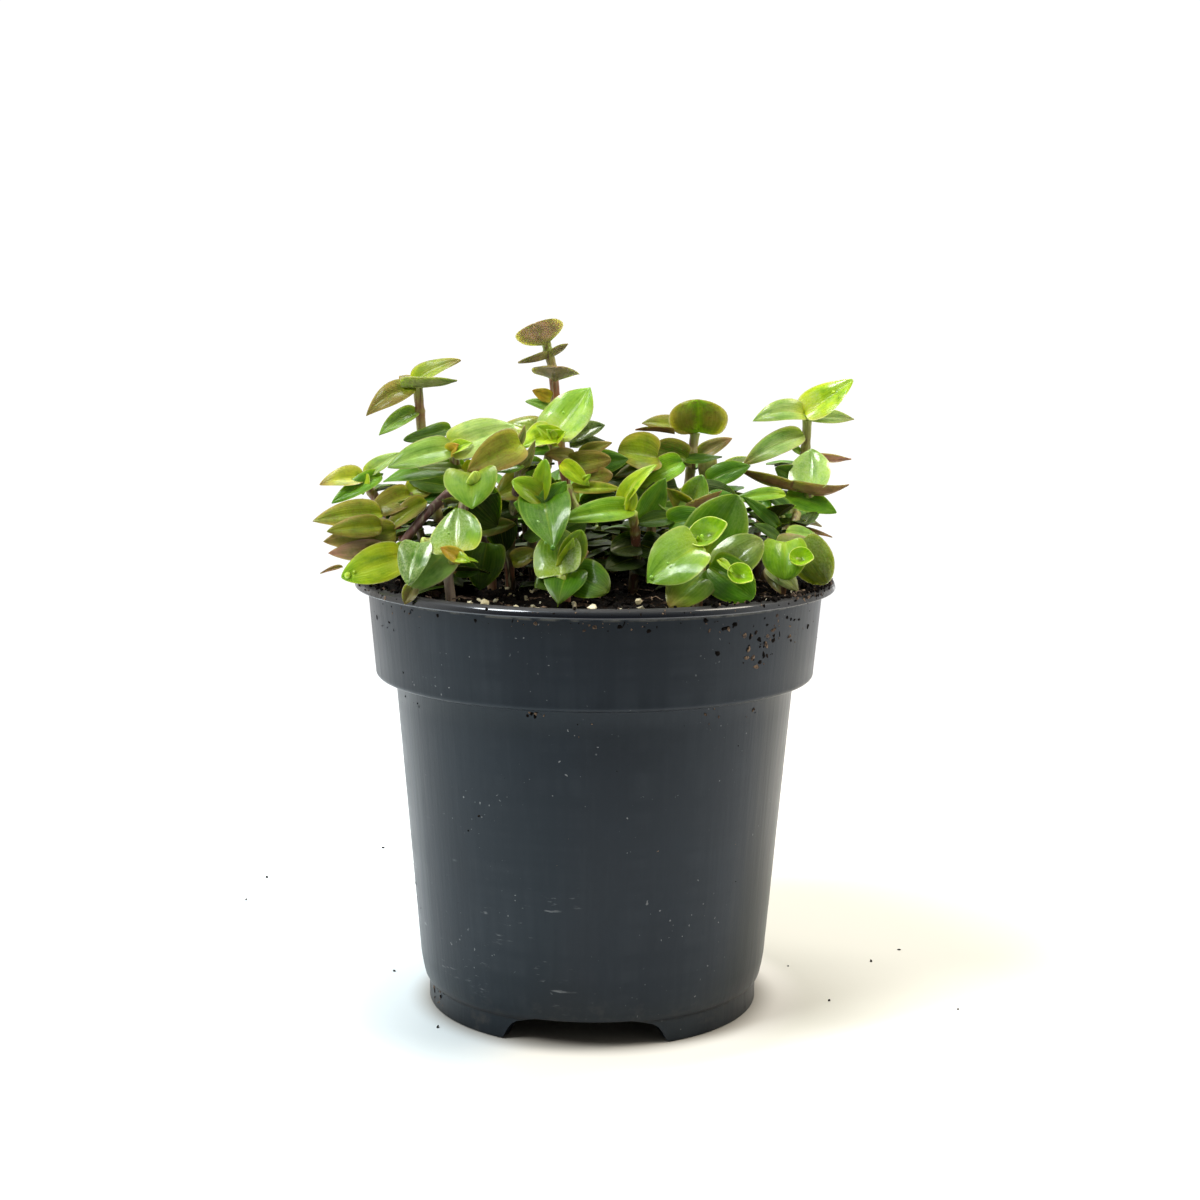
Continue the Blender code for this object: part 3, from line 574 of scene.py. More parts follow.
# Each shoot: its stem's route from the mix up with the bark at each point, its main leaves, and
# its small ones, as (base on the stem, tip, width, (azimuth, elevation) of the upper face, cup,
# arch, tone, and wetness and bluntness if any). Rolled leaves have the depth of their bowl in
# place of cup and arch. Runners are loose lengths of stem.
SHOOTS = {
    "left_tall": {
        "stem": [(-30, -10, 94), (-31, -10, 98), (-34, -9, 109), (-36.4, -8, 119), (-37.2, -8, 125),
                 (-37.7, -8, 131), (-38.2, -8, 136.7)],
        "bark": "bttolrl",
        "leaves": [
            ((-39.6, -8, 136.6), (-28.8, -9, 141.9), 5.6, (-25, 40), 0.4, 0.5, "limerust"),
            ((-38.4, -8, 136.2), (-48.9, -11, 130), 6.2, (-25, 22), 0.15, 1.8, "bronze"),
            ((-37.8, -8, 131.2), (-46.2, -11, 125.9), 4.8, (-25, 18), 0.2, 1.0, "pale"),
        ],
        "small": [
            ((-30.4, -11, 127.6), (-40.9, -12, 125.0), 4.4, (12, 40), 0.3, -0.6, "dark", 0.3, 0.3),
            ((-42, -9.5, 136.3), (-29.4, -11.5, 137.7), 5.4, (178, 62), 0.4, -0.7, "ashen"),
            ((-39, -7, 136.6), (-42.4, -5, 138.2), 3, (0, 40), 0.3, 0, "bronze"),
        ],
    },
    "left_pair": {
        "stem": [(-22, -14, 94), (-23, -15, 101), (-26.5, -17, 111), (-29, -19, 119), (-29.8, -20, 123)],
        "bark": "bbprl",
        "leaves": [
            ((-29.4, -20, 123.9), (-43.2, -23, 120.0), 7.6, (-16, 32), 0.12, 1.2, "pale", 0.5),
            ((-30.6, -20, 123.6), (-16.8, -19, 128.8), 9.6, (-6, 30), 0.12, 0.4, "haze", 0.5),
        ],
        "small": [
            ((-27, -18, 120.4), (-44.5, -20, 116.8), 6.4, (0, 42), 0.2, 1.0, "green"),
            ((-30.4, -21, 123.0), (-28.4, -23, 125), 3.4, (0, 25), 0.6, 0, "orange"),
            ((-30.0, -21.5, 122.8), (-25.6, -22, 125.2), 3.8, (-10, 45), 0.6, 0.4, "lime"),
            ((-27, -20, 119.2), (-37, -22, 119.8), 3.2, (0, 50), 0.2, 0.6, "haze"),
            ((-28.6, -20, 120.0), (-23.5, -22, 116.4), 5.4, (10, 30), 0.3, 0.4, "yellow"),
        ],
    },
    "left_mid": {
        "stem": [(-18, -16, 94), (-18, -17, 102), (-17, -19, 112), (-15.8, -22, 119), (-15.6, -22.5, 123)],
        "bark": "kkkpt",
        "leaves": [((-15.2, -22.5, 125.4), (-26.4, -27, 119.8), 8.6, (-8, 12), 0.25, 0.8, "umber", 0.2)],
        "small": [
            ((-16.3, -23, 118.6), (-12.6, -22, 126.0), 2.6, (38, 8), 0.3, 0.4, "greyed"),
            ((-16.6, -21, 124.2), (-14.8, -21, 129.0), 2.2, (40, 8), 0.3, 0.2, "greyed"),
            ((-15.6, -22, 121), (-20.5, -25, 119.4), 5.4, (0, 50), 0.2, 0.3, "green", 0.6),
        ],
    },
    "front_left": {
        "stem": [(-29.5, -32, 94), (-30, -32, 100), (-29, -30, 105), (-27, -27, 113), (-25.8, -25, 118)],
        "bark": "wwppt",
        "leaves": [
            ((-27.9, -36.8, 103.6), (-27.9, -31.2, 112.7), 12.0, (-20, 30), 0.14, -0.4, "rimmed", 1.0, 0.15),
            ((-25.6, -26, 119.4), (-24.9, -34, 112.7), 12, (-4, 32), 0.12, 0.9, "mellow", 0.2),
            ((-29.6, -32, 104.6), (-39.0, -36.0, 94.6), 9.4, (4, 30), 0.06, 0.5, "faded", 0.0, -0.7),
        ],
        "rolled": [((-25.2, -28.6, 117.6), (-24.8, -30.6, 119.8), 3.4, (0, 55), 0.9, "cup")],
        "small": [
            ((-27.0, -24, 115), (-20.4, -22, 108), 11.5, (6, 6), 0.15, 0.4, "dusk"),
            ((-22.4, -24, 105), (-24.0, -26, 95), 9.5, (0, 12), 0.15, 0.4, "dark", 0.3),
            ((-24.6, -20, 106.6), (-16.6, -21, 108.4), 4.6, (0, 30), 0.2, 0.5, "darkolive"),
            ((-20.6, -18, 110.0), (-19.0, -19, 102.0), 7.6, (6, 10), 0.2, 0.4, "shade"),
            ((-17.6, -24, 100.6), (-12.4, -24.5, 103.0), 4.4, (0, 22), 0.2, 0.3, "olive", 0.0, 0.6),
            ((-28.5, -28, 99.5), (-23.6, -30, 99.4), 4.5, (0, 30), 0.3, 0.2, "deep", 0.4),
            ((-26.7, -38.2, 102.8), (-31.0, -40.2, 105.6), 3.6, (-6, 30), 0.3, 0.2, "orange"),
            ((-28.3, -38.4, 103.4), (-24.9, -40.4, 102.7), 2.8, (-6, 34), 0.4, 0.3, "yellow"),
            ((-28.0, -37.8, 102.8), (-23.4, -38.8, 102.5), 1.6, (0, 70), 0.4, 0.3, "yellow"),
            ((-36.8, -35.5, 97.0), (-38.4, -37.5, 93.6), 3.6, (10, 30), 0.6, 0.2, "withered"),
        ],
        "runners": [([(-37, -20, 96.5), (-34, -22, 94), (-31, -24, 92)], "pp"),
                    ([(-29.8, -31.6, 101.0), (-28.9, -34.2, 102.2), (-28.0, -36.8, 103.4)], "tl"),
                    ([(-29.4, -30.6, 104.0), (-32.5, -32.4, 105.4), (-35.2, -33.6, 105.9)], "tl")],
    },
    "left_outer": {
        "stem": [(-41, -9, 94), (-42, -11, 99), (-44, -13, 104), (-45.3, -15, 108)],
        "bark": "bprr",
        "leaves": [
            ((-40.0, -21.0, 101.4), (-53.0, -23.0, 97.0), 8.8, (-8, 14), 0.12, 0.8, "yellow", 0.3, 0.2),
            ((-44.8, -15.5, 109.6), (-59.2, -20.5, 108.5), 7.2, (-14, 26), 0.12, 1.3, "olive"),
            ((-41.8, -16.5, 106.2), (-56.8, -22, 104.4), 7.0, (-10, 6), 0.08, 1.0, "mauve"),
        ],
        "small": [
            ((-35.5, -33.8, 106.1), (-37.5, -38.6, 97.6), 7.8, (-19, 31), 0.12, 0.4, "deep", 1.0),
            ((-44.6, -18.5, 107.4), (-56.0, -22.5, 106.6), 5.6, (-10, 20), 0.12, 0.9, "olive"),
            ((-44, -19.5, 102.8), (-55.8, -22, 102.0), 5.0, (0, 4), 0.2, 0.2, "pink"),
            ((-53.0, -17, 98.6), (-58.2, -17, 97.0), 1.3, (0, 40), 0.5, 0.3, "purple"),
            ((-41.4, -18.5, 101.6), (-38.6, -19.5, 104.0), 3.6, (0, 25), 0.8, 0, "lime"),
            ((-43, -12, 102), (-49, -8, 106), 6, (-40, 50), 0.2, 0.3, "bronze"),
        ],
        "runners": [([(-31.0, -13.6, 114.2), (-33.4, -15, 112), (-36.4, -16, 109), (-38.8, -16, 106),
                      (-40.8, -15.6, 103.4)], "ppppp"),
                    ([(-42.0, -11.2, 99.4), (-41.4, -15.6, 101.0), (-40.2, -20.6, 101.5)], "tl")],
    },
    "left_low": {
        "stem": [(-38, -3, 94), (-39.5, -4, 100), (-44.5, -6, 107.5), (-48.3, -7, 113.5), (-50, -8, 116.5)],
        "bark": "bbrrl",
        "leaves": [
            ((-49.2, -8.5, 116.6), (-59.1, -10, 115.2), 5.6, (-12, 34), 0.35, 1.1, "sunset"),
            ((-45.6, -9, 117.6), (-56.3, -12, 111.4), 4.8, (4, 30), 0.25, 0.5, "green"),
        ],
        "small": [
            ((-50, -8, 117), (-41.4, -9, 122.2), 3.8, (8, 35), 0.25, 0.5, "haze"),
            ((-50.2, -9.0, 117.2), (-49.6, -11, 113.2), 4.4, (-6, 18), 0.5, 0.2, "limelit"),
            ((-49, -8, 115), (-45.6, -8, 117.6), 3, (0, 40), 0.2, 0, "green"),
            ((-39.0, -12, 113.6), (-48.6, -14, 108.6), 6.4, (-12, 18), 0.2, 1.6, "umber"),
            ((-35.5, -14.5, 112.6), (-44.8, -16.5, 105.8), 5.2, (-30, 18), 0.35, 0.4, "olive"),
            ((-37, -12, 112.6), (-45.6, -13, 111.9), 3.0, (0, 40), 0.2, 0.4, "greyed"),
            ((-38.5, -14, 110.4), (-44.5, -15, 108.4), 5.4, (10, 20), 0.2, 0.3, "dusk"),
            ((-31.6, -12, 115.4), (-39.8, -12, 116.2), 5.0, (6, 25), 0.2, 0.5, "dark"),
            ((-31.0, -12, 113.4), (-38.8, -12, 111.8), 4.4, (0, 38), 0.2, 0.6, "deep"),
            ((-35, -11, 116.4), (-41.0, -11, 113), 6.4, (-6, 18), 0.2, 0.6, "gold"),
        ],
    },
    "centre_tall": {
        "stem": [(-3, 4, 94), (-4, 3, 100), (-6, 1, 112), (-8, -1, 124), (-8.8, -2, 133),
                 (-9.6, -2, 140), (-10.6, -2, 144), (-11.1, -2, 146)],
        "bark": "bbbeetll",
        "leaves": [
            ((-10.8, -2.6, 144.8), (-13.3, -8.6, 149.7), 10.8, (-156, 50), 0.10, 0.4, "russet", 0.0, 1.0),
            ((-9.0, -3, 137.2), (-8.6, -10, 140.6), 10.4, (174, 66), 0.06, 0, "greyed", 0.0, 1.0),
        ],
        "small": [
            ((-10.3, -2.5, 142.5), (-17.0, -4, 141.3), 4.4, (176, 66), 0.3, -0.3, "greyed"),
            ((-10.0, -3, 142.6), (-6.2, -3, 145.4), 2.6, (170, 50), 0.3, 0, "greyed"),
            ((-9.5, -3, 133.4), (-13.9, -3.5, 135.4), 3.4, (0, 30), 0.2, 0, "orange"),
            ((-9.5, -3, 131.4), (-15.4, -3.5, 133.0), 3.4, (0, 40), 0.2, 0.4, "pale"),
            ((-8, -1, 124), (-2, 7, 126), 8, (150, 50), 0.2, 0.4, "green"),
        ],
    },
    "centre_bright": {
        "stem": [(-13, -12, 94), (-13.5, -13, 102), (-13, -14, 112), (-10.5, -13, 120), (-9.4, -12, 125)],
        "bark": "kkktl",
        "leaves": [
            ((-9.2, -14.3, 126.0), (-1.3, -11.7, 136.5), 11.8, (-22, 27), 0.16, -0.5, "fresh", 0.9),
        ],
        "small": [
            ((-8.6, -14, 126.4), (-15.4, -20, 124.2), 7.4, (-6, 40), 0.3, 0.6, "limelit"),
            ((-9.6, -11.6, 125), (-19.4, -9, 128.6), 7.0, (-4, 30), 0.2, 1.4, "gold", 0.8),
            ((-7.0, -10.5, 125.2), (1.9, -9, 128.4), 5.4, (10, 42), 0.3, 0.3, "dark", 1.0),
            ((-6.0, -12, 123.8), (2.0, -11, 125.0), 4.4, (6, 50), 0.3, 0.4, "dusk", 1.0),
            ((-7.6, -16, 125.0), (-12.6, -17, 128.6), 4.6, (-10, 30), 0.7, 0, "limelit"),
            ((-8.2, -17.0, 125.8), (-6.4, -18.5, 127.6), 3.4, (10, 30), 0.9, 0, "limelit"),
            ((-9.0, -17.4, 125.6), (-10.4, -17.8, 128.0), 2.2, (20, 10), 1.2, 0, "lime"),
            ((-7, -12, 123.0), (-15.4, -15, 122.2), 3.6, (0, 50), 0.2, 0.6, "green"),
            ((-4.4, -15, 121.6), (-11.0, -17, 122.6), 4.0, (-10, 30), 0.2, 0.6, "mauve"),
            ((-4.0, -14, 122.0), (3.4, -14, 125.0), 3.4, (0, 30), 0.2, 0.5, "umber"),
            ((-7.5, -15, 119.6), (3.2, -15.5, 121.6), 5.6, (4, 18), 0.2, 0.8, "umber", 0.0, 0.6),
            ((-4.5, -16, 117.0), (3.6, -16.5, 118.4), 4.6, (4, 16), 0.2, 0.6, "umber", 0.3, 0.7),
            ((-12, -14, 118), (-17, -12, 121.5), 6, (-10, 40), 0.2, 0.3, "green"),
            ((-14, -17, 117.0), (-21, -20, 113.6), 7.6, (-6, 20), 0.2, 0.6, "olive"),
            ((-13.5, -16, 113.4), (-21.5, -19, 109.6), 7.0, (-6, 25), 0.2, 0.5, "dusk"),
            ((-13.4, -16, 116.4), (-6.4, -18, 112.0), 6.6, (6, 25), 0.2, 0.5, "dusk"),
        ],
    },
    "centre_front": {
        "stem": [(-6, -30, 94), (-7, -30.5, 100), (-9, -30, 107), (-10.5, -28, 114), (-11.3, -26, 120)],
        "bark": "btoto",
        "leaves": [
            ((-10.7, -30, 114.8), (-8.2, -40, 105.2), 11.6, (-2, 26), 0.30, 1.0, "vivid", 0.5, -0.3),
            ((-6.8, -36.4, 99.2), (-8.3, -30.6, 108.9), 11.4, (-22, 30), 0.18, -0.4, "wetgreen", 1.0, 0.2),
            ((-5.4, -33, 100.0), (-7.4, -41, 93.9), 9.6, (-8, 24), 0.06, 1.0, "ember", 0.0, -0.5),
        ],
        "small": [
            ((-10.9, -31, 114.0), (-10.1, -31.5, 122.8), 4.4, (-24, 4), 0.35, 0.3, "gilt", 0.0, 0.8),
            ((-10.6, -31, 114.4), (-17.0, -32, 118.4), 5.6, (14, 22), 0.3, 0.6, "gilt", 0.0, 0.5),
            ((-10.4, -31, 112.0), (-5.9, -32.5, 118.4), 6.0, (-12, 14), 0.2, 0.3, "vivid", 0.3),
            ((-11, -31.5, 111.4), (-16.6, -33.5, 114.0), 6.4, (6, 24), 0.2, 0.5, "vivid", 0.5),
            ((-7.4, -33.6, 99.6), (-4.4, -35.0, 107.2), 3.4, (14, 8), 0.5, 0.2, "limelit", 0.6),
            ((-6.4, -33.0, 101.0), (-2.8, -33.0, 108.6), 6.0, (20, 8), 0.3, 0.2, "gilt", 0.4, 0.6),
            ((-5.0, -32, 99.4), (2.8, -37.5, 96.4), 9.0, (4, 24), 0.08, 0.8, "ember", 0.0, 0.6),
            ((-6.4, -32, 99.0), (-12.2, -36.5, 97.0), 6.6, (-8, 26), 0.1, 0.8, "ember", 0.0),
            ((-8.5, -24, 104), (-2, -22, 109), 7, (0, 30), 0.2, 0, "dark"),
            ((-9, -26, 108), (-15, -22, 106), 7, (0, 40), 0.2, 0, "dark"),
        ],
        "runners": [([(-4.6, -30, 98.6), (-3.4, -30, 101.5), (-2.2, -29, 104)], "tt"),
                    ([(-7.0, -30.8, 98.4), (-6.9, -33.6, 98.8), (-6.8, -36.4, 99.0)], "tl")],
    },
    "centre_right": {
        "stem": [(8, -16, 94), (8.5, -18, 101), (8.3, -21, 107), (7.6, -23, 111)],
        "bark": "bbrl",
        "leaves": [((8.4, -23, 111.8), (-7.1, -28, 109.9), 6.4, (0, 36), 0.2, 0.9, "spring", 0.3, 0.2)],
        "small": [
            ((5.0, -23, 112.2), (12.8, -20, 120.9), 4.6, (-28, 26), 0.45, 1.5, "limelit"),
            ((6.6, -24, 111.4), (7.8, -24.5, 116.6), 3.0, (24, 14), 0.5, 0, "limelit"),
            ((9.0, -20, 108.0), (14.6, -18, 118.0), 6.4, (16, 14), 0.25, 0.6, "green"),
            ((-7.6, -18, 121.2), (-1.3, -19, 116.2), 4.2, (-18, 30), 0.3, 0.5, "limelit"),
            ((-2.8, -19, 117.0), (-1.0, -19.5, 118.8), 1.6, (20, 30), 0.3, 0.2, "lime"),
            ((-5.6, -18, 115.6), (5.6, -19, 115.6), 3.4, (0, 30), 0.2, 0.4, "gold"),
            ((-5.0, -18.4, 115.4), (-6.2, -19.6, 110.2), 4.0, (10, 12), 0.4, 0.3, "gilt"),
            ((-3.4, -17, 111.6), (4.4, -18, 114.6), 4.8, (0, 30), 0.2, 0.5, "dusk"),
            ((17, -20, 110), (8, -22, 108.5), 5, (0, 40), 0.2, 0.3, "dark"),
            ((9, -19, 104), (3, -24, 103), 7, (0, 35), 0.2, 0, "shade", 0.5),
            ((9, -18, 101), (2, -26, 99.5), 7, (0, 40), 0.2, 0.4, "shade"),
            ((9, -18, 104), (15.5, -23, 101.5), 7.5, (10, 35), 0.2, 0.4, "shade"),
            ((9, -17, 99), (14.5, -22, 97), 6.5, (10, 45), 0.2, 0.4, "shade"),
        ],
        "runners": [([(-6, -18, 116.2), (-5, -19, 113.6), (-3.8, -20, 111)], "ll")],
    },
    "centre_olive": {
        "stem": [(12, -3, 94), (12, -3, 104), (12.8, -2, 114), (13, -2, 121)],
        "bark": "bbto",
        "leaves": [((13.6, -3.5, 121.0), (4.6, -7, 122.8), 9.2, (-8, 30), 0.3, 0.3, "gold", 0.0, 0.8)],
        "small": [
            ((12.8, -2, 118), (3.5, -6, 118.0), 5.5, (0, 60), 0.2, 0.5, "umber"),
            ((13.8, -4, 119.8), (3.9, -8, 117.2), 4.4, (8, 34), 0.2, 0.6, "darkolive"),
            ((10, -5, 117.6), (-1, -9, 115.2), 6.4, (0, 30), 0.2, 0.6, "dusk"),
            ((-2, -9, 119.6), (7, -8, 121.0), 6.0, (0, 24), 0.2, 0.5, "deep"),
            ((12, -3, 112), (4, -10, 113), 7, (0, 50), 0.2, 0.4, "green"),
            ((12, -3, 108), (16, -12, 108), 8, (10, 50), 0.2, 0.4, "dark"),
        ],
    },
    "mushroom": {
        "stem": [(17, 2, 94), (18, 3, 101), (19.8, 4, 111), (20.8, 5, 117.5), (21.2, 5, 122), (21.7, 5, 126)],
        "bark": "bbtotl",
        "leaves": [
            ((22.6, 4.6, 125.8), (22.0, 0.5, 133.6), 13.0, (-6, 24), 0.06, 0.6, "ribbed", 0.0, 1.0),
            ((21.6, 5.3, 126), (9.9, 4, 128), 6.2, (0, 52), 0.2, 0.9, "olive"),
        ],
        "small": [
            ((22, 6, 120.6), (30.0, 6, 124.8), 4.2, (10, 30), 0.2, 0.6, "blush"),
            ((18.2, 1.5, 119.9), (27.6, 1.5, 121.0), 3.6, (0, 52), 0.3, -0.3, "dark"),
            ((20.8, 5, 119.5), (13.5, 1, 121.5), 5.5, (0, 40), 0.2, 0.3, "darkolive"),
            ((17.5, 2, 126.0), (8.4, 1, 126.8), 3.2, (180, 60), 0.2, 0.3, "purple"),
            ((20.2, 2, 120.4), (12.2, 1, 123.0), 7.0, (-6, 16), 0.2, 0.4, "darkolive", 0.2, 0.6),
            ((13.3, 2, 121.5), (5.5, 0, 118), 3, (0, 45), 0.2, 0.3, "bronze"),
            ((24.5, 5, 121.4), (24.0, 4, 114.6), 4.6, (10, 14), 0.2, 0.3, "greyed"),
            ((19, -2, 120.4), (7.5, -6, 114.4), 6.6, (0, 24), 0.25, 0.9, "halfsun"),
            ((24, -2, 115.4), (33.6, -2, 119.4), 6.0, (-10, 30), 0.2, 0.9, "deep", 0.3),
            ((18, -4, 114.6), (9, -9, 112.0), 6.4, (-6, 24), 0.2, 0.5, "dusk"),
            ((22, -4, 114.0), (31, -8, 112.4), 6.4, (6, 24), 0.2, 0.5, "dusk"),
            ((19.8, 4, 111), (28, 0, 113.5), 7, (10, 45), 0.2, 0.4, "green"),
            ((19.5, 4, 110), (12, -2, 111), 7, (-10, 45), 0.2, 0.4, "dark"),
        ],
    },
    "rosette": {
        "stem": [(21, -19, 94), (21.5, -20, 101), (21.3, -19, 107), (20.7, -16, 111)],
        "bark": "bbto",
        "leaves": [
            ((22.2, -23.0, 101.0), (29.4, -25, 115.2), 14.4, (-6, 14), 0.08, 0.7, "deepest", 0.5, 0.3),
        ],
        "small": [
            ((20.4, -15.5, 111.5), (22.4, -17, 118.6), 6.6, (-12, 22), 0.5, 0, "mellow", 0.8, 0.3),
            ((20.2, -16.5, 111.2), (14.8, -20, 116.0), 4.4, (-34, 24), 0.5, 0.3, "olive"),
            ((18.6, -19, 111.2), (26.4, -20, 115.6), 3.4, (172, 40), 0.3, -1.0, "blush"),
            ((19.6, -19, 111.4), (13.0, -20, 112.6), 3.6, (0, 40), 0.4, -0.6, "pale"),
            ((24, -12, 112.5), (29.5, -12, 113.8), 4.4, (0, 45), 0.2, 0.3, "vivid"),
            ((15.0, -21, 108.4), (24, -24, 110.6), 6.8, (-4, 18), 0.2, 0.6, "deep"),
            ((21.3, -19, 105), (15, -24, 106), 7, (-10, 40), 0.2, 0.4, "shade"),
        ],
    },
    "front_right": {
        "stem": [(21, -33, 94), (21.5, -34, 99), (21.2, -36, 105)],
        "bark": "btl",
        "leaves": [
            ((21.3, -39.2, 106.5), (10.4, -41.0, 98.9), 12.8, (-22, 27), 0.08, 0.9, "dew", 0.6),
            ((22.6, -35.5, 100.6), (14.8, -42.5, 94.2), 10.0, (-14, 20), 0.05, 0.9, "spent", 0.3, 0.3),
            ((22.8, -35.5, 101.6), (31.8, -40.5, 95.8), 10.0, (4, 20), 0.08, 0.8, "vivid", 0.3, 0.6),
        ],
        "rolled": [
            ((18.6, -38.4, 107.9), (25.7, -40.2, 110.6), 6.1, (-2, 38), 2.2, "cup", 0.5),
            ((26.9, -40.8, 102.2), (31.1, -42.2, 100.0), 4.7, (4, 36), 1.6, "cup", 0.4),
        ],
        "small": [
            ((24.6, -37.5, 103.4), (27.6, -41.4, 101.0), 2.0, (0, 50), 0.4, 0.2, "lime"),
            ((20.8, -37, 104.6), (20.6, -38.6, 108.2), 2.4, (0, 10), 0.4, 0.0, "limelit"),
            ((25.0, -33.5, 99.9), (34.0, -33.5, 106.9), 9.6, (-22, 26), 0.10, 0.6, "umberwet", 0.8, 0.6),
        ],
    },
    "right_rosette": {
        "stem": [(40, -12, 94), (41.5, -14, 98), (42.8, -17, 101)],
        "bark": "btl",
        "leaves": [
            ((39.6, -21, 105.3), (39.4, -26, 97.6), 10.2, (-8, 25), 0.14, 0.6, "spring", 0.4, 0.6),
            ((43.0, -16.5, 104.8), (48.9, -20, 96.2), 9.4, (-14, 24), 0.10, 0.6, "sere", 0.7, 0.6),
        ],
        "rolled": [((40.2, -26.2, 103.1), (44.7, -27.4, 102.5), 4.5, (0, 40), 1.5, "cup", 0.4)],
        "runners": [([(42.6, -17, 100.6), (42.0, -21, 101.2), (42.0, -25.6, 101.4)], "tl")],
        "small": [
            ((36.4, -19, 99.8), (38.8, -24, 94.4), 3.2, (-30, 16), 0.3, 0.4, "greyed"),
            ((36.8, -19.5, 99.6), (43.2, -24.5, 94.0), 6.0, (20, 22), 0.1, 0.5, "ashen", 0.0, -0.9),
            ((42, -15, 100), (47, -8, 103), 7, (60, 50), 0.2, 0.3, "dark"),
            ((38, -14, 104), (47.6, -16, 103.6), 4.6, (0, 40), 0.2, 0.4, "greyed"),
        ],
    },
    "right_tall": {
        "stem": [(36, 8, 94), (38, 11, 99), (43.5, 16, 104.5), (45, 17, 110), (46.6, 19, 117),
                 (47.6, 20, 122), (47.8, 20, 128.5)],
        "bark": "bbtltol",
        "leaves": [
            ((46.8, 19.2, 129.4), (57.8, 17.8, 137.4), 8.6, (-27, 24), 0.22, -0.5, "limelit", 1.0),
            ((48.0, 20, 129.2), (35.2, 18, 127.8), 6.4, (-4, 34), 0.2, 3.0, "haze", 0.4),
            ((47.4, 19.5, 128.6), (58.4, 19, 128.4), 4.8, (0, 42), 0.2, 0.4, "greyling"),
            ((47.4, 19, 125.0), (32.7, 19, 117.2), 6.6, (-12, 26), 0.15, 2.4, "tailed", 0.0, -0.3),
            ((42.4, 13, 112.0), (53.9, 10, 108.0), 6.8, (6, 26), 0.2, 0.6, "green"),
        ],
        "small": [
            ((48.1, 10.4, 112.5), (48.2, 15.6, 121.9), 10.8, (-27, 26), 0.22, -0.6, "glaze", 1.0, 0.2),
            ((46.6, 11, 112.4), (30.9, 10, 117.9), 4.6, (176, 50), 0.3, -0.6, "purple"),
            ((43.0, 10.5, 114.0), (56.6, 10.5, 114.4), 5.0, (178, 50), 0.3, -2.2, "blush"),
            ((46.5, 20, 120.5), (43.6, 18, 122.6), 2.6, (0, 40), 0.2, 0, "pale"),
            ((48.2, 20, 119.6), (58, 19, 119.4), 3.6, (172, 50), 0.3, -0.5, "pink"),
            ((47.0, 16, 113.6), (40.2, 14, 117.8), 6.4, (-10, 18), 0.2, 0.5, "dark"),
            ((48.6, 13.5, 112.6), (47.4, 13, 107.6), 4.2, (10, 12), 0.5, 0, "limelit"),
            ((41.8, 0, 113), (28.6, -3, 111.4), 3.8, (0, 45), 0.2, 0.9, "dew"),
            ((40, -2, 106), (31.6, -5, 113), 3.4, (-20, 35), 0.2, 0.4, "deep"),
            ((41, 0, 105), (33, -3, 109.4), 3.6, (-20, 40), 0.2, 0.4, "dark"),
            ((40, -5, 103.5), (33.6, -9, 107.4), 3.6, (-20, 40), 0.2, 0.4, "dark"),
            ((43, 4, 109), (36.8, 0, 112.8), 4, (-10, 40), 0.2, 0.3, "deep"),
            ((43.4, 0, 105.6), (51.6, -3, 104), 1.8, (0, 50), 0.2, 0.3, "purple"),
            ((40.6, -8, 105.8), (48.6, -10, 104.2), 4, (0, 50), 0.2, 0.3, "pale"),
            ((43.5, 16, 104.5), (51, 22, 107), 8, (120, 50), 0.2, 0.4, "green"),
            ((44.6, 16, 108), (38, 25, 111), 8, (200, 50), 0.2, 0.4, "green"),
        ],
        "runners": [([(40, -6, 98), (42.6, -2, 103.6), (44.4, 4, 108.4)], "to"),
                    ([(45.4, 16.6, 110.6), (47.0, 13.4, 111.4), (48.0, 10.6, 112.3)], "tl")],
    },
    "back_left": {
        "stem": [(-24, 16, 94), (-26, 18, 103), (-30, 22, 111), (-33, 25, 117)],
        "bark": "btrl",
        "small": [
            ((-33, 25, 116.7), (-40, 33, 121), 9, (-150, 50), 0.2, 0.5, "fresh"),
            ((-33, 25, 116.7), (-25, 34, 119), 9, (150, 50), 0.2, 0.5, "green"),
            ((-30, 22, 111), (-41, 26, 110), 8, (-120, 50), 0.2, 0.5, "dark"),
            ((-30, 22, 111), (-23, 31, 109), 8, (150, 40), 0.2, 0.5, "dark"),
        ],
    },
    "back_centre": {
        "stem": [(-5, 24, 94), (-5, 27, 103), (-3, 31, 110), (-2, 33, 116)],
        "bark": "btrl",
        "small": [
            ((-2.3, 32.4, 114.2), (-10, 41, 117), 9, (-170, 60), 0.2, 0.5, "green"),
            ((-2, 33, 115.7), (7, 39, 116.5), 9, (150, 60), 0.2, 0.5, "fresh"),
            ((-3.3, 30.5, 108.6), (-14, 36, 107.5), 8.5, (-160, 50), 0.2, 0.5, "dark"),
            ((-3, 31, 110), (6, 39, 107), 8.5, (160, 50), 0.2, 0.5, "bronze"),
        ],
    },
    "back_right": {
        "stem": [(22, 19, 94), (24, 22, 103), (26, 25, 110), (28, 28, 116)],
        "bark": "btrl",
        "small": [
            ((28, 28, 115.7), (22, 37, 118), 9, (180, 50), 0.2, 0.5, "fresh"),
            ((28, 28, 115.7), (37, 34, 118), 9, (140, 50), 0.2, 0.5, "lime"),
            ((26, 25, 110), (17, 32, 108), 8.5, (-170, 50), 0.2, 0.5, "dark"),
            ((26, 25, 110), (36, 30, 108), 8.5, (130, 50), 0.2, 0.5, "green"),
        ],
    },
    "back_low_left": {
        "stem": [(-16, 34, 94), (-19, 36, 98), (-24, 38, 101.5)],
        "bark": "bto",
        "small": [
            ((-24, 38, 101.2), (-34, 43, 100), 9, (-150, 60), 0.2, 0.5, "green"),
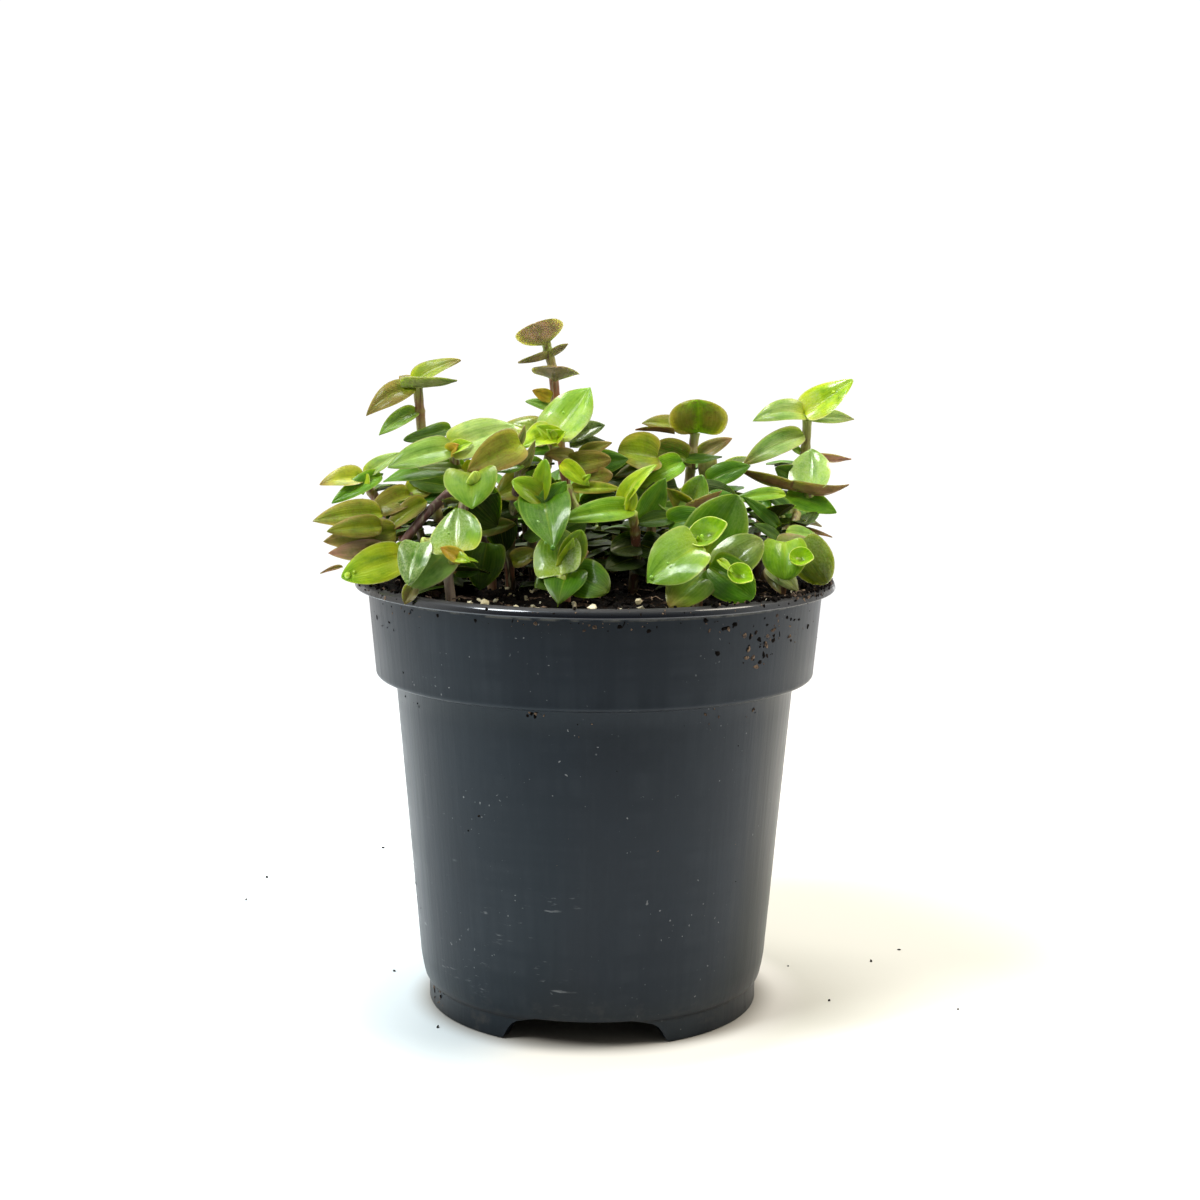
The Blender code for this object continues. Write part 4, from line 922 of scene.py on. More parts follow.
            ((-24, 38, 101.2), (-19, 48, 100), 8.5, (170, 60), 0.2, 0.5, "fresh"),
            ((-19, 36, 98), (-9, 44, 98.5), 8, (160, 60), 0.2, 0.5, "dark"),
        ],
    },
    "back_low_right": {
        "stem": [(10, 35, 94), (14, 37, 98), (19, 38, 102)],
        "bark": "bto",
        "small": [
            ((19, 38, 101.7), (29, 42, 100), 9, (150, 60), 0.2, 0.5, "green"),
            ((19, 38, 101.7), (16, 48, 100), 8.5, (-170, 60), 0.2, 0.5, "lime"),
            ((14, 37, 98), (5, 45, 98.5), 8, (-160, 60), 0.2, 0.5, "dark"),
        ],
    },
    "back_far_left": {
        "stem": [(-38, 20, 94), (-41, 23, 99), (-44, 26, 104)],
        "bark": "bto",
        "small": [
            ((-44, 26, 103.7), (-53, 31, 102.5), 9, (-120, 60), 0.2, 0.5, "green"),
            ((-44, 26, 103.7), (-40, 36, 103.5), 8.5, (-170, 60), 0.2, 0.5, "fresh"),
            ((-41, 23, 99), (-51, 20, 100), 8, (-90, 60), 0.2, 0.5, "dark"),
        ],
    },
    "back_far_right": {
        "stem": [(38, 22, 94), (40, 25, 99), (43, 28, 104)],
        "bark": "bto",
        "small": [
            ((43, 28, 103.7), (53, 32, 102.5), 9, (120, 60), 0.2, 0.5, "bronze"),
            ((43, 28, 103.7), (38, 38, 103.5), 8.5, (170, 60), 0.2, 0.5, "green"),
            ((40, 25, 99), (51, 24, 99.5), 8, (90, 60), 0.2, 0.5, "dark"),
        ],
    },
}


def blended(a, b, t):
    return tuple(lerp(p, q, t) for p, q in zip(a, b))


def smooth_route(route, steps):
    """Points along a smooth curve through the route, and where each lies, counted in route points."""
    points = [Vector(p) for p in route]
    ends = [points[0] * 2 - points[1]] + points + [points[-1] * 2 - points[-2]]
    found = []
    for i in range(len(points) - 1):
        a, b, c, d = ends[i:i + 4]
        for k in range(steps):
            t = k / steps
            spot = 0.5 * (2 * b + (c - a) * t + (2 * a - 5 * b + 4 * c - d) * t * t
                          + (3 * b - a - 3 * c + d) * t ** 3)
            found.append((spot, i + t))
    found.append((points[-1], len(points) - 1.0))
    return found


def stalk(work, route, barks, girth, nodes_from=2):
    """A jointed stem along a route; each route point from nodes_from on is a node with a sheath."""
    line = smooth_route(route, 8)
    points, paint, sheaths = [], [], []
    for i, (spot, at) in enumerate(line):
        ahead, behind = line[min(i + 1, len(line) - 1)][0], line[max(i - 1, 0)][0]
        along = (ahead - behind).normalized()
        right = along.cross(Vector((0, 1, 0))).normalized()
        front = along.cross(right)
        nearest = round(at)
        sheath = max(0.0, 1 - abs(at - nearest) / 0.16) if nearest >= nodes_from else 0.0
        above = 0.0 <= at - nearest < 0.3 and nearest >= nodes_from
        radius = girth * (1.0 + 0.22 * sheath) * (0.94 if above else 1.0)
        low = barks[min(int(at), len(barks) - 1)]
        high = barks[min(int(at) + 1, len(barks) - 1)]
        shade = blended(BARKS[low], BARKS[high], at - int(at))
        shade = blended(shade, BARKS["l"], 0.45 * sheath)
        points += [spot + (right * across + front * out) * radius for across, out in circle(STEM_SIDES)]
        paint += [shade] * STEM_SIDES
        sheaths += [(sheath, 0.0, 0.0)] * STEM_SIDES
    faces = joined(len(line), STEM_SIDES)
    for centre, first, back in ((line[0][0], 0, True), (line[-1][0], len(points) - STEM_SIDES, False)):
        faces += fan(len(points), first, STEM_SIDES, back)
        points.append(centre)
        paint.append(paint[first])
        sheaths.append(sheaths[first])
    work.add(points, faces, tint=paint, sheath=sheaths)


def painted(place, name, output=1):
    """A wire of the values painted on the points; output 0 takes them as a colour."""
    return place.node("ShaderNodeAttribute", {"attribute_name": name}, {}, output)


def stem_skin():
    """Waxy bark as painted, streaked lengthwise but for the sheaths, and blotched."""
    mat, shader, place = finish_of("stem_skin")
    tint, sheath = painted(place, "tint", 0), painted(place, "sheath").parts()[0]
    stripes = place.stretched(1, 1, 0.06).noise(1500, 2)
    blotch = place.noise(320, 3)
    base = tint.over((0.16, 0.06, 0.035), stripes.step(0.48, 0.66) * (1 - sheath) * 0.75)
    base = base.over((0.55, 0.52, 0.30), stripes.step(0.44, 0.34) * 0.45)
    base = base.over((0.10, 0.045, 0.02), blotch.step(0.60, 0.72) * 0.5)
    feed(shader, Base_Color=base, Roughness=0.30 + blotch * 0.25,
         Normal=bumped(stripes + blotch * 0.5, 0.00012, 0.7),
         Subsurface_Weight=0.15, Subsurface_Radius=(1.0, 0.8, 0.3), Subsurface_Scale=0.0008)
    return mat


skin = stem_skin()
for name, shoot in SHOOTS.items():
    stem = Gathered()
    x, y, _ = shoot["stem"][0]
    route = [(x, y, MIX_TOP_Z - PLANT_DEPTH), (x, y, MIX_TOP_Z + 2.0)] + shoot["stem"][1:]
    stalk(stem, route, "b" + shoot["bark"], STEM_RADIUS * STEM_SWELL)
    for runner, barks in shoot.get("runners", ()):
        stalk(stem, runner, barks, STEM_RADIUS, nodes_from=len(runner))
    piece = stem.piece(f"{name}_stem", skin, "stem")
    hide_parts(f"stem_{name}")

# ---------------------------------------------------------------- the leaves
# Thick little pointed ovals that clasp the stem, cupped along the midrib: lime when young,
# green when grown, bronze and purple where the sun reached them. Many are wet from watering.
LEAF_ACROSS = (-1.0, -0.92, -0.72, -0.48, -0.22, 0.0, 0.22, 0.48, 0.72, 0.92, 1.0)
LEAF_ROWS = (0.0, 0.015, 0.04, 0.08, 0.13, 0.19, 0.27, 0.36, 0.46, 0.56, 0.66, 0.75, 0.83, 0.90, 0.95, 0.985)
LEAF_THICK = 0.42
LEAF_START = 0.4
BOWL_SIDES = 32
BEAD_SIDES = 12

# tone: blade, base of the blade, tip, edge, underside, how speckled it is
TONES = {
    "lime": ((0.30, 0.52, 0.02), (0.52, 0.66, 0.03), (0.24, 0.46, 0.02),
        (0.52, 0.62, 0.10), (0.30, 0.42, 0.08), 0.0),
    "fresh": ((0.28, 0.52, 0.05), (0.44, 0.60, 0.03), (0.20, 0.42, 0.04),
        (0.40, 0.52, 0.10), (0.24, 0.36, 0.08), 0.0),
    "yellow": ((0.34, 0.50, 0.014), (0.56, 0.60, 0.02), (0.18, 0.40, 0.015),
        (0.50, 0.56, 0.07), (0.34, 0.42, 0.07), 0.0),
    "green": ((0.10, 0.27, 0.015), (0.22, 0.42, 0.02), (0.08, 0.22, 0.012),
        (0.26, 0.42, 0.06), (0.18, 0.26, 0.09), 0.0),
    "vivid": ((0.045, 0.160, 0.002), (0.10, 0.24, 0.003), (0.05, 0.165, 0.002),
        (0.15, 0.30, 0.02), (0.11, 0.21, 0.03), 0.0),
    "ember": ((0.040, 0.140, 0.002), (0.08, 0.20, 0.003), (0.05, 0.08, 0.008),
        (0.13, 0.24, 0.02), (0.09, 0.17, 0.03), 0.0),
    "mellow": ((0.140, 0.290, 0.020), (0.26, 0.34, 0.015), (0.12, 0.29, 0.03),
        (0.33, 0.44, 0.09), (0.22, 0.32, 0.07), 0.0),
    "spring": ((0.125, 0.290, 0.006), (0.25, 0.42, 0.010), (0.11, 0.25, 0.008),
        (0.27, 0.42, 0.05), (0.16, 0.28, 0.04), 0.0),
    "tailed": ((0.30, 0.46, 0.16), (0.40, 0.53, 0.14), (0.16, 0.06, 0.045),
        (0.38, 0.24, 0.17), (0.26, 0.17, 0.12), 0.0),
    "deep": ((0.045, 0.155, 0.006), (0.10, 0.26, 0.01), (0.04, 0.13, 0.006),
        (0.16, 0.30, 0.04), (0.12, 0.18, 0.05), 0.0),
    "pale": ((0.19, 0.36, 0.07), (0.30, 0.46, 0.07), (0.15, 0.28, 0.05),
        (0.30, 0.28, 0.12), (0.24, 0.25, 0.12), 0.1),
    "dark": ((0.035, 0.10, 0.008), (0.08, 0.18, 0.010), (0.03, 0.085, 0.008),
        (0.10, 0.16, 0.04), (0.09, 0.09, 0.05), 0.1),
    # The next tone is the darkest green: painted shade for leaves deep in the foliage.
    "shade": ((0.006, 0.023, 0.001), (0.014, 0.038, 0.002), (0.006, 0.020, 0.001),
        (0.015, 0.038, 0.003), (0.012, 0.017, 0.004), 0.0),
    "olive": ((0.18, 0.24, 0.012), (0.34, 0.42, 0.015), (0.16, 0.18, 0.02),
        (0.28, 0.17, 0.08), (0.24, 0.20, 0.09), 0.5),
    "darkolive": ((0.06, 0.12, 0.008), (0.14, 0.24, 0.01), (0.08, 0.10, 0.01),
        (0.17, 0.11, 0.045), (0.14, 0.13, 0.06), 0.6),
    "bronze": ((0.17, 0.16, 0.035), (0.30, 0.42, 0.012), (0.17, 0.13, 0.045),
        (0.25, 0.15, 0.08), (0.15, 0.12, 0.04), 0.7),
    "gold": ((0.27, 0.41, 0.012), (0.20, 0.25, 0.015), (0.24, 0.29, 0.015),
        (0.30, 0.20, 0.05), (0.26, 0.26, 0.08), 0.4),
    "mauve": ((0.20, 0.20, 0.055), (0.26, 0.30, 0.04), (0.22, 0.14, 0.075),
        (0.36, 0.20, 0.15), (0.18, 0.14, 0.085), 0.6),
    "purple": ((0.15, 0.085, 0.06), (0.20, 0.15, 0.06), (0.16, 0.07, 0.06),
        (0.30, 0.15, 0.13), (0.18, 0.09, 0.08), 0.5),
    "pink": ((0.34, 0.23, 0.19), (0.36, 0.25, 0.18), (0.42, 0.20, 0.22),
        (0.5, 0.3, 0.3), (0.42, 0.22, 0.24), 0.2),
    "limelit": ((0.36, 0.56, 0.012), (0.50, 0.60, 0.012), (0.30, 0.52, 0.03),
        (0.60, 0.70, 0.14), (0.34, 0.48, 0.05), 0.0),
    "limerust": ((0.30, 0.39, 0.07), (0.50, 0.66, 0.02), (0.28, 0.18, 0.10),
        (0.42, 0.26, 0.15), (0.22, 0.18, 0.09), 0.15),
    "ribbed": ((0.20, 0.20, 0.030), (0.26, 0.48, 0.005), (0.20, 0.42, 0.005),
        (0.24, 0.13, 0.06), (0.12, 0.14, 0.04), 0.8),
    # The next tone's base colour is darker than its blade: painted shade in a rolled leaf's hollow middle.
    "cup": ((0.26, 0.50, 0.004), (0.14, 0.26, 0.004), (0.30, 0.52, 0.02),
        (0.56, 0.72, 0.17), (0.36, 0.50, 0.08), 0.0),
    "haze": ((0.33, 0.50, 0.15), (0.50, 0.58, 0.04), (0.26, 0.42, 0.12),
        (0.46, 0.54, 0.20), (0.30, 0.38, 0.13), 0.1),
    "dew": ((0.165, 0.36, 0.025), (0.32, 0.50, 0.012), (0.14, 0.32, 0.02),
        (0.36, 0.50, 0.09), (0.24, 0.36, 0.07), 0.0),
    "glaze": ((0.25, 0.46, 0.06), (0.30, 0.54, 0.02), (0.24, 0.46, 0.06),
        (0.48, 0.62, 0.20), (0.30, 0.40, 0.12), 0.0),
    "rimmed": ((0.11, 0.26, 0.006), (0.34, 0.40, 0.010), (0.10, 0.24, 0.006),
        (0.48, 0.60, 0.07), (0.22, 0.34, 0.06), 0.0),
    "wetgreen": ((0.10, 0.22, 0.006), (0.24, 0.36, 0.008), (0.08, 0.18, 0.006),
        (0.28, 0.40, 0.05), (0.18, 0.28, 0.05), 0.0),
    "gilt": ((0.15, 0.27, 0.004), (0.27, 0.29, 0.005), (0.16, 0.33, 0.008),
        (0.32, 0.40, 0.04), (0.18, 0.26, 0.03), 0.1),
    "deepest": ((0.065, 0.18, 0.006), (0.16, 0.24, 0.006), (0.06, 0.155, 0.010),
        (0.28, 0.46, 0.08), (0.10, 0.16, 0.03), 0.0),
    # The next tone is a very dark green: painted shade for leaves inside the foliage.
    "dusk": ((0.013, 0.040, 0.001), (0.028, 0.062, 0.002), (0.015, 0.032, 0.001),
        (0.040, 0.075, 0.006), (0.022, 0.028, 0.008), 0.1),
    "faded": ((0.22, 0.42, 0.11), (0.24, 0.44, 0.09), (0.22, 0.26, 0.12),
        (0.36, 0.32, 0.22), (0.22, 0.26, 0.13), 0.1),
    "withered": ((0.10, 0.085, 0.045), (0.14, 0.14, 0.06), (0.09, 0.06, 0.04),
        (0.30, 0.28, 0.24), (0.12, 0.09, 0.06), 0.3),
    "spent": ((0.12, 0.27, 0.015), (0.15, 0.30, 0.012), (0.20, 0.14, 0.05),
        (0.20, 0.22, 0.06), (0.14, 0.20, 0.06), 0.1),
    "sere": ((0.08, 0.13, 0.012), (0.15, 0.24, 0.02), (0.10, 0.12, 0.012),
        (0.26, 0.30, 0.06), (0.14, 0.16, 0.06), 0.3),
    "greyed": ((0.20, 0.24, 0.10), (0.25, 0.32, 0.08), (0.22, 0.19, 0.12),
        (0.32, 0.21, 0.17), (0.33, 0.27, 0.23), 0.4),
    "ashen": ((0.22, 0.30, 0.13), (0.28, 0.38, 0.11), (0.24, 0.22, 0.15),
        (0.38, 0.42, 0.24), (0.25, 0.29, 0.14), 0.2),
    "greyling": ((0.34, 0.50, 0.19), (0.42, 0.56, 0.16), (0.28, 0.28, 0.14),
        (0.38, 0.27, 0.19), (0.28, 0.21, 0.14), 0.1),
    "blush": ((0.28, 0.22, 0.13), (0.26, 0.34, 0.12), (0.30, 0.16, 0.13),
        (0.40, 0.28, 0.20), (0.26, 0.15, 0.11), 0.2),
    "russet": ((0.22, 0.18, 0.06), (0.27, 0.40, 0.03), (0.22, 0.15, 0.07),
        (0.34, 0.25, 0.17), (0.43, 0.30, 0.24), 0.3),
    "umber": ((0.18, 0.20, 0.030), (0.34, 0.44, 0.012), (0.19, 0.14, 0.045),
        (0.26, 0.16, 0.07), (0.15, 0.13, 0.05), 0.6),
    "umberwet": ((0.11, 0.20, 0.035), (0.14, 0.26, 0.02), (0.13, 0.17, 0.035),
        (0.25, 0.32, 0.08), (0.13, 0.17, 0.05), 0.15),
    "halfsun": ((0.16, 0.36, 0.008), (0.12, 0.34, 0.005), (0.14, 0.13, 0.02),
        (0.28, 0.24, 0.06), (0.16, 0.20, 0.05), 0.3),
    "orange": ((0.50, 0.34, 0.03), (0.50, 0.50, 0.03), (0.40, 0.20, 0.03),
        (0.45, 0.25, 0.06), (0.40, 0.26, 0.06), 0.2),
    "sunset": ((0.36, 0.42, 0.03), (0.42, 0.56, 0.02), (0.20, 0.09, 0.045),
        (0.42, 0.36, 0.13), (0.28, 0.17, 0.08), 0.35),
}


def outline(t, blunt):
    """Half width of a leaf along its length, as a share of the widest; blunt is 0 pointed, 1 round."""
    pointed = 2.15 * t ** 0.45 * max(0.0, 1 - t) ** 0.86
    rounded = 2.0 * math.sqrt(t * max(0.0, 1 - t))
    return 0.12 * (1 - t) + lerp(pointed, rounded, blunt) * (0.88 + 0.12 * t)


def facing_vector(azimuth, elevation):
    """Azimuth 0 faces -Y, 90 faces +X; elevation 90 faces up."""
    a, e = math.radians(azimuth), math.radians(elevation)
    return Vector((math.sin(a) * math.cos(e), -math.cos(a) * math.cos(e), math.sin(e)))


def blade_axes(base, tip, facing):
    """The directions along a blade, across it, and out of its upper face."""
    along = (tip - base).normalized()
    face = facing_vector(*facing)
    up = (face - along * face.dot(along)).normalized()
    return along, along.cross(up), up


def leaf(work, base, tip, width, facing, cup, arch, tone, wet=0.0, blunt=0.0):
    """One blade, thickest along its midrib, from LEAF_START off the stem's line to its tip."""
    rnd = random.Random(f"{base}{tip}")
    base, tip = Vector(base), Vector(tip)
    along, side, up = blade_axes(base, tip, facing)
    length = (tip - base).length - LEAF_START
    base = base + along * LEAF_START
    blade, root, end, edge, under, speckle = TONES[tone]
    wave, wave_at = rnd.uniform(0.012, 0.04) * width, rnd.uniform(0, 6.28)
    # A broad blade's lobes reach back around the stem.
    heart = 0.30 if width > 0.6 * length and blunt < 0.9 else 0.10
    twist = rnd.uniform(-0.12, 0.12)
    puff = rnd.uniform(0.05, 0.11)
    shift = rnd.uniform(0.88, 1.12)
    points, tint, look, mark = [], [], [], []

    def spot(t, u, layer):
        """A point t along and u across; layer is 1 on the upper face, 0 on the edge, -1 below."""
        half = 0.5 * width * outline(t, blunt)
        thick = LEAF_THICK * 0.5 * (1 - abs(u) ** 2.5) * min(1.0, 0.7 + t)
        groove = 0.12 * max(0.0, 1 - abs(u) / 0.2) * (1 - t) - puff * half * math.sin(math.pi * abs(u))
        lift = arch * 4 * t * (1 - t) + (cup + 0.35 * (1 - t) ** 3) * half * (0.5 * abs(u) + 0.5 * u * u)
        lift += wave * math.sin(8 * t + wave_at + 1.5 * u) * u * u + twist * half * u * t - groove
        reach = length * t - heart * width * u * u * 6.7 * t * (1 - t) ** 6
        return base + along * reach + side * half * u + up * (lift + layer * thick)

    def paint(t, u, layer):
        """The colour there: the blade's, then its base's, tip's, midrib's and edge's over it."""
        own = blended(blade, root, max(0.0, 1 - t / 0.38) ** 1.4)
        own = blended(own, end, max(0.0, (t - 0.62) / 0.38))
        own = blended(own, root, 0.30 * max(0.0, 1 - abs(u) / 0.14) * (1 - t))
        if tone == "ribbed":
            own = blended(own, root, 0.8 * max(0.0, 1 - abs(u) / 0.16))
        if speckle > 0.3:
            own = blended(own, edge, 0.75 * max(0.0, abs(u) - 0.40) / 0.60)
        if layer < 0:
            own = blended(under, root, 0.5 * max(0.0, 1 - t / 0.3))
        if abs(u) > 0.95 or t > 0.99:
            own = edge
        return tuple(c * shift for c in own)

    def put_point(t, u, layer):
        points.append(spot(t, u, layer))
        tint.append(paint(t, u, layer))
        look.append((speckle, wet if layer >= 0 else 0.0, 1.0 if layer < 0 else 0.0))
        mark.append((u, t, shift))

    for t in LEAF_ROWS:
        for u in LEAF_ACROSS:
            put_point(t, u, 1 if abs(u) < 1 else 0)
        for u in LEAF_ACROSS[-2:0:-1]:
            put_point(t, u, -1)
    ring, hub = 2 * len(LEAF_ACROSS) - 2, len(points)
    put_point(1.0, 0.0, 0)
    faces = joined(len(LEAF_ROWS), ring) + fan(hub, hub - ring, ring) + [tuple(range(ring))[::-1]]
    work.add(points, faces, tint=tint, look=look, mark=mark)


def bowl(work, base, tip, width, facing, depth, tone, wet=0.0):
    """A young leaf still rolled into a cup: an egg-shaped rim with a point, and a deep middle."""
    base, tip = Vector(base), Vector(tip)
    along, side, up = blade_axes(base, tip, facing)
    centre, length = (base + tip) / 2, (tip - base).length
    blade, root, _, edge, under, speckle = TONES[tone]
    # The bowl's middle takes the tone's base colour; the cup tone's is a darker green: painted shade in the
    # hollow.
    rings = [(r, -depth * (1 - r * r), root if r < 0.3 else blade) for r in (0.12, 0.35, 0.58, 0.78, 0.92)]
    rings += [(0.98, -0.05, blade), (1.0, 0.06, edge), (1.03, 0.10, edge), (1.05, 0.02, edge)]
    rings += [(1.05, -0.22, under)]
    rings += [(r, -depth * (1 - r * r) - 0.5, under) for r in (0.92, 0.65, 0.30)]
    points, tint, mark = [centre - up * depth], [root], [(0.0, 0.5, 1.0)]
    for r, height, colour in rings:
        for forward, sideways in circle(BOWL_SIDES):
            ahead = forward * (1 + 0.14 * max(0.0, forward) ** 10)
            across = sideways * (1 - 0.22 * max(0.0, forward) ** 2)
            points.append(centre + along * (ahead * length * 0.5 * r) + side * (across * width * 0.5 * r)
                          + up * (height + 0.10 * depth * r * forward))
            tint.append(colour)
            mark.append((across * r, 0.5 + 0.5 * ahead * r, 1.0))
    points.append(centre - up * (depth + 0.5))
    tint.append(under)
    mark.append((0.0, 0.5, 1.0))
    work.add(points, dome(len(rings), BOWL_SIDES), tint=tint, look=(speckle, wet, 0.0), mark=mark)


def drop(work, spot, size, facing, tint):
    """A bead of water on a blade: a low dome of clear green."""
    up = facing_vector(*facing)
    right = up.orthogonal().normalized()
    front = up.cross(right)
    rings = ((0.45, 0.62), (0.80, 0.38), (1.0, 0.0), (0.8, -0.15))
    points = [Vector(spot) + up * size * 0.7]
    points += [Vector(spot) + (right * across + front * out) * size * r + up * size * h
               for r, h in rings for across, out in circle(BEAD_SIDES)]
    points.append(Vector(spot) - up * size * 0.2)
    work.add(points, dome(len(rings), BEAD_SIDES), tint=tint)


def leaf_skin():
    """Fleshy blade as painted: veins, a pale midrib, blotches, dark speckles, and a film of water with a
    whitish painted reflection.
    """
    mat, shader, place = finish_of("leaf_skin")
    tint, mark = painted(place, "tint", 0), painted(place, "mark")
    speckle, wet, under = painted(place, "look").parts()
    streak = mark.stretched(5, 0.9, 60).noise(1.0, 3, 0.6)
    patch = mark.stretched(2.2, 2.6, 80).noise(1.0, 2)
    across, along, _ = mark.parts()
    spread = across * 44.0 * (1.15 - along * 0.35)
    veins = spread.sum("SINE", spread)
    mottle = place.noise(420, 3, 0.6)
    cells = place.noise(1900, 3, 0.7)
    rib = across.sum("ABSOLUTE", across).step(0.07, 0.0)
    base = tint.over((0.55, 0.60, 0.10), rib * (1 - along) * 0.22)
    dim = base.over((0.42, 0.60, 0.36), 1.0, "MULTIPLY")
    base = base.over(dim, mottle.step(0.42, 0.70) * 0.45 + patch.step(0.42, 0.62) * 0.45)
    light = tint.over((0.16, 0.20, 0.06), 1.0, "ADD")
    base = base.over(light, streak.step(0.52, 0.72) * 0.16)
    dots = place.noise(2400, 2).step(0.38, 0.62)
    film = (place.noise(110, 3, 0.6) + wet * 0.10).step(0.50, 0.62) * wet * (1 - rib * 0.85)
    gloss = tint.step(0.03, 0.12) * (1 - under) * 0.16
    # Where the film is, a whitish green is laid over the blade: a painted reflection on the wet film.
    base = base.over((0.66, 0.80, 0.62), film * wet * (dots * 0.14 + 0.08))
    spots = cells.step(0.50, 0.60) * mottle.step(0.35, 0.55) * speckle * (1 - rib * 0.6)
    base = base.over((0.15, 0.045, 0.03), spots * 0.55)
    base = base.over((0.80, 0.85, 0.45), veins.step(0.5, 1.0) * 0.025)
    cast = tint.colour((0.98, 0.90, 0.50), (0.98, 0.88, 0.76), tint.step(0.06, 0.45))
    base = base.over(cast, 1.0, "MULTIPLY")
    rough = 0.36 + mottle * 0.14 + under * 0.10 - film * 0.24
    feed(shader, Base_Color=base, Roughness=rough, Coat_Weight=film * (dots * 0.45 + 0.55) + gloss,
         Normal=bumped(cells * 0.4 + veins * 0.05 * (1 - film) + mottle + streak * 0.6, 0.00024, 0.6),
         Coat_Roughness=0.13, Coat_IOR=1.45, Specular_IOR_Level=0.20, Specular_Tint=(0.86, 1.0, 0.50, 1.0),
         Subsurface_Weight=0.35, Subsurface_Radius=(0.8, 1.0, 0.25), Subsurface_Scale=0.0012)
    return mat


flesh = leaf_skin()
# Which main leaves' tones go with each slot name; every other one goes with leaf_bronze. The name is handed
# to piece, which does not use it.
SLOTS = {
    "leaf_lime": ("limelit", "limerust", "haze", "dew", "fresh", "yellow", "gold", "sunset", "mellow"),
    "leaf_green": ("green", "vivid", "ember", "spring", "tailed", "pale", "olive", "rimmed", "wetgreen",
                   "faded", "spent", "greyling"),
    "leaf_dark": ("deepest", "sere"),
}


def slot_of(tone):
    return next((slot for slot, tones in SLOTS.items() if tone in tones), "leaf_bronze")


rnd = random.Random(5)
for name, shoot in SHOOTS.items():
    for index, blade in enumerate(shoot.get("leaves", ())):
        work = Gathered()
        leaf(work, *blade)
        piece = work.piece(f"{name}_leaf_{index + 1}", flesh, slot_of(blade[6]), sharp=80)
        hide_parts(f"leaf_{name}_{index + 1}")
    work = Gathered()
    for blade in shoot["small"]:
        leaf(work, *blade)
    for x, y, z in shoot["stem"][1:-1]:
        for _ in range(2):
            turn = rnd.uniform(110, 250)
            reach = rnd.uniform(6.5, 9.5)
            out = facing_vector(turn, 0) * reach
            tip = (x + out.x, y + out.y, min(z + rnd.uniform(-1.5, 2.5), 122))
            if tip[1] < 46 and z < 120:
                # Leaves towards the front take the darkest tones: painted shade inside the foliage.
                tone = rnd.choice(("dark", "green" if y > 4 else "dusk", "shade"))
                leaf(work, (x, y, z), tip, reach * 0.75, (turn, 55), 0.2, 0.4, tone)
    for rolled in shoot.get("rolled", ()):
        bowl(work, *rolled)
    work.piece(f"{name}_small_leaves", flesh, "leaf_green", sharp=80)


def bead():
    """Water, which takes the green under it."""
    mat, shader, place = finish_of("water_bead")
    tint = painted(place, "tint", 0)
    base = tint.over((0.10, 0.12, 0.05), place.noise(900, 2).step(0.4, 0.6), "ADD")
    feed(shader, Base_Color=base, Roughness=0.03 + place.noise(300) * 0.03, IOR=1.45)
    return mat


# Where beads of water hang or lie: spot, size, (azimuth, elevation) they stand out to, and the
# leaf's tone.
BEADS = [
    ((-51.6, -23.4, 97.6), 0.8, (-30, 20), "yellow"), ((-50.2, -23.6, 98.4), 0.35, (-20, 30), "yellow"),
    ((-8.4, -40.8, 105.8), 0.6, (10, 10), "vivid"), ((-9.9, -39.6, 106.6), 0.35, (-10, 10), "vivid"),
    ((-11.6, -36.8, 110.4), 0.55, (-5, 40), "vivid"), ((-9.4, -38.4, 107.6), 0.4, (0, 30), "vivid"),
    ((11.3, -41.6, 100.1), 0.5, (-10, 20), "dew"), ((14.5, -42.0, 103.0), 0.3, (-10, 20), "dew"),
    ((-25.7, -33.9, 110.1), 0.35, (0, 20), "rimmed"), ((-29.6, -35.3, 107.9), 0.3, (0, 20), "rimmed"),
    ((27.5, -25.6, 106.2), 0.45, (0, 20), "deepest"), ((28.3, -25.8, 108.4), 0.3, (0, 20), "deepest"),
    ((21.4, -38.9, 108.2), 0.4, (0, 30), "cup"), ((53.2, 16.2, 134.6), 0.45, (-20, 30), "limelit"),
    ((-6.9, -13.9, 131.2), 0.35, (-6, 20), "fresh"),
]
beads = Gathered()
for spot, size, facing, tone in BEADS:
    drop(beads, spot, size, facing, TONES[tone][0])
beads.piece("water_beads", bead(), "leaf_green")

# ---------------------------------------------------------------- the undergrowth
# Short sprigs that crowd the mix between the taller shoots, so that little of it shows from
# above: thin stems, and darker leaves, with only the front edge of the pot left open. The
# lowest leaves and those towards the front are near-black greens: painted shade.
SPRIG_SPACING = 8.5
SPRIG_GIRTH = 0.85
FRONT_EDGE_Y = -21


def sprig_spots(rnd):
    """Places all over the mix but its front edge, on a jittered grid."""
    count = int(CRUST_RADIUS / SPRIG_SPACING) + 1
    for i in range(-count, count + 1):
        for j in range(-count, count + 1):
            x = (i + 0.5 * (j % 2)) * SPRIG_SPACING + rnd.uniform(-2, 2)
            y = j * SPRIG_SPACING * 0.87 + rnd.uniform(-2, 2)
            bare = y < 2 and (-25 < x < -9 or 3 < x < 14) or (y < -6 and x > 27)
            if math.hypot(x, y) < CRUST_RADIUS - 4.5 and y > FRONT_EDGE_Y and not bare:
                yield x, y


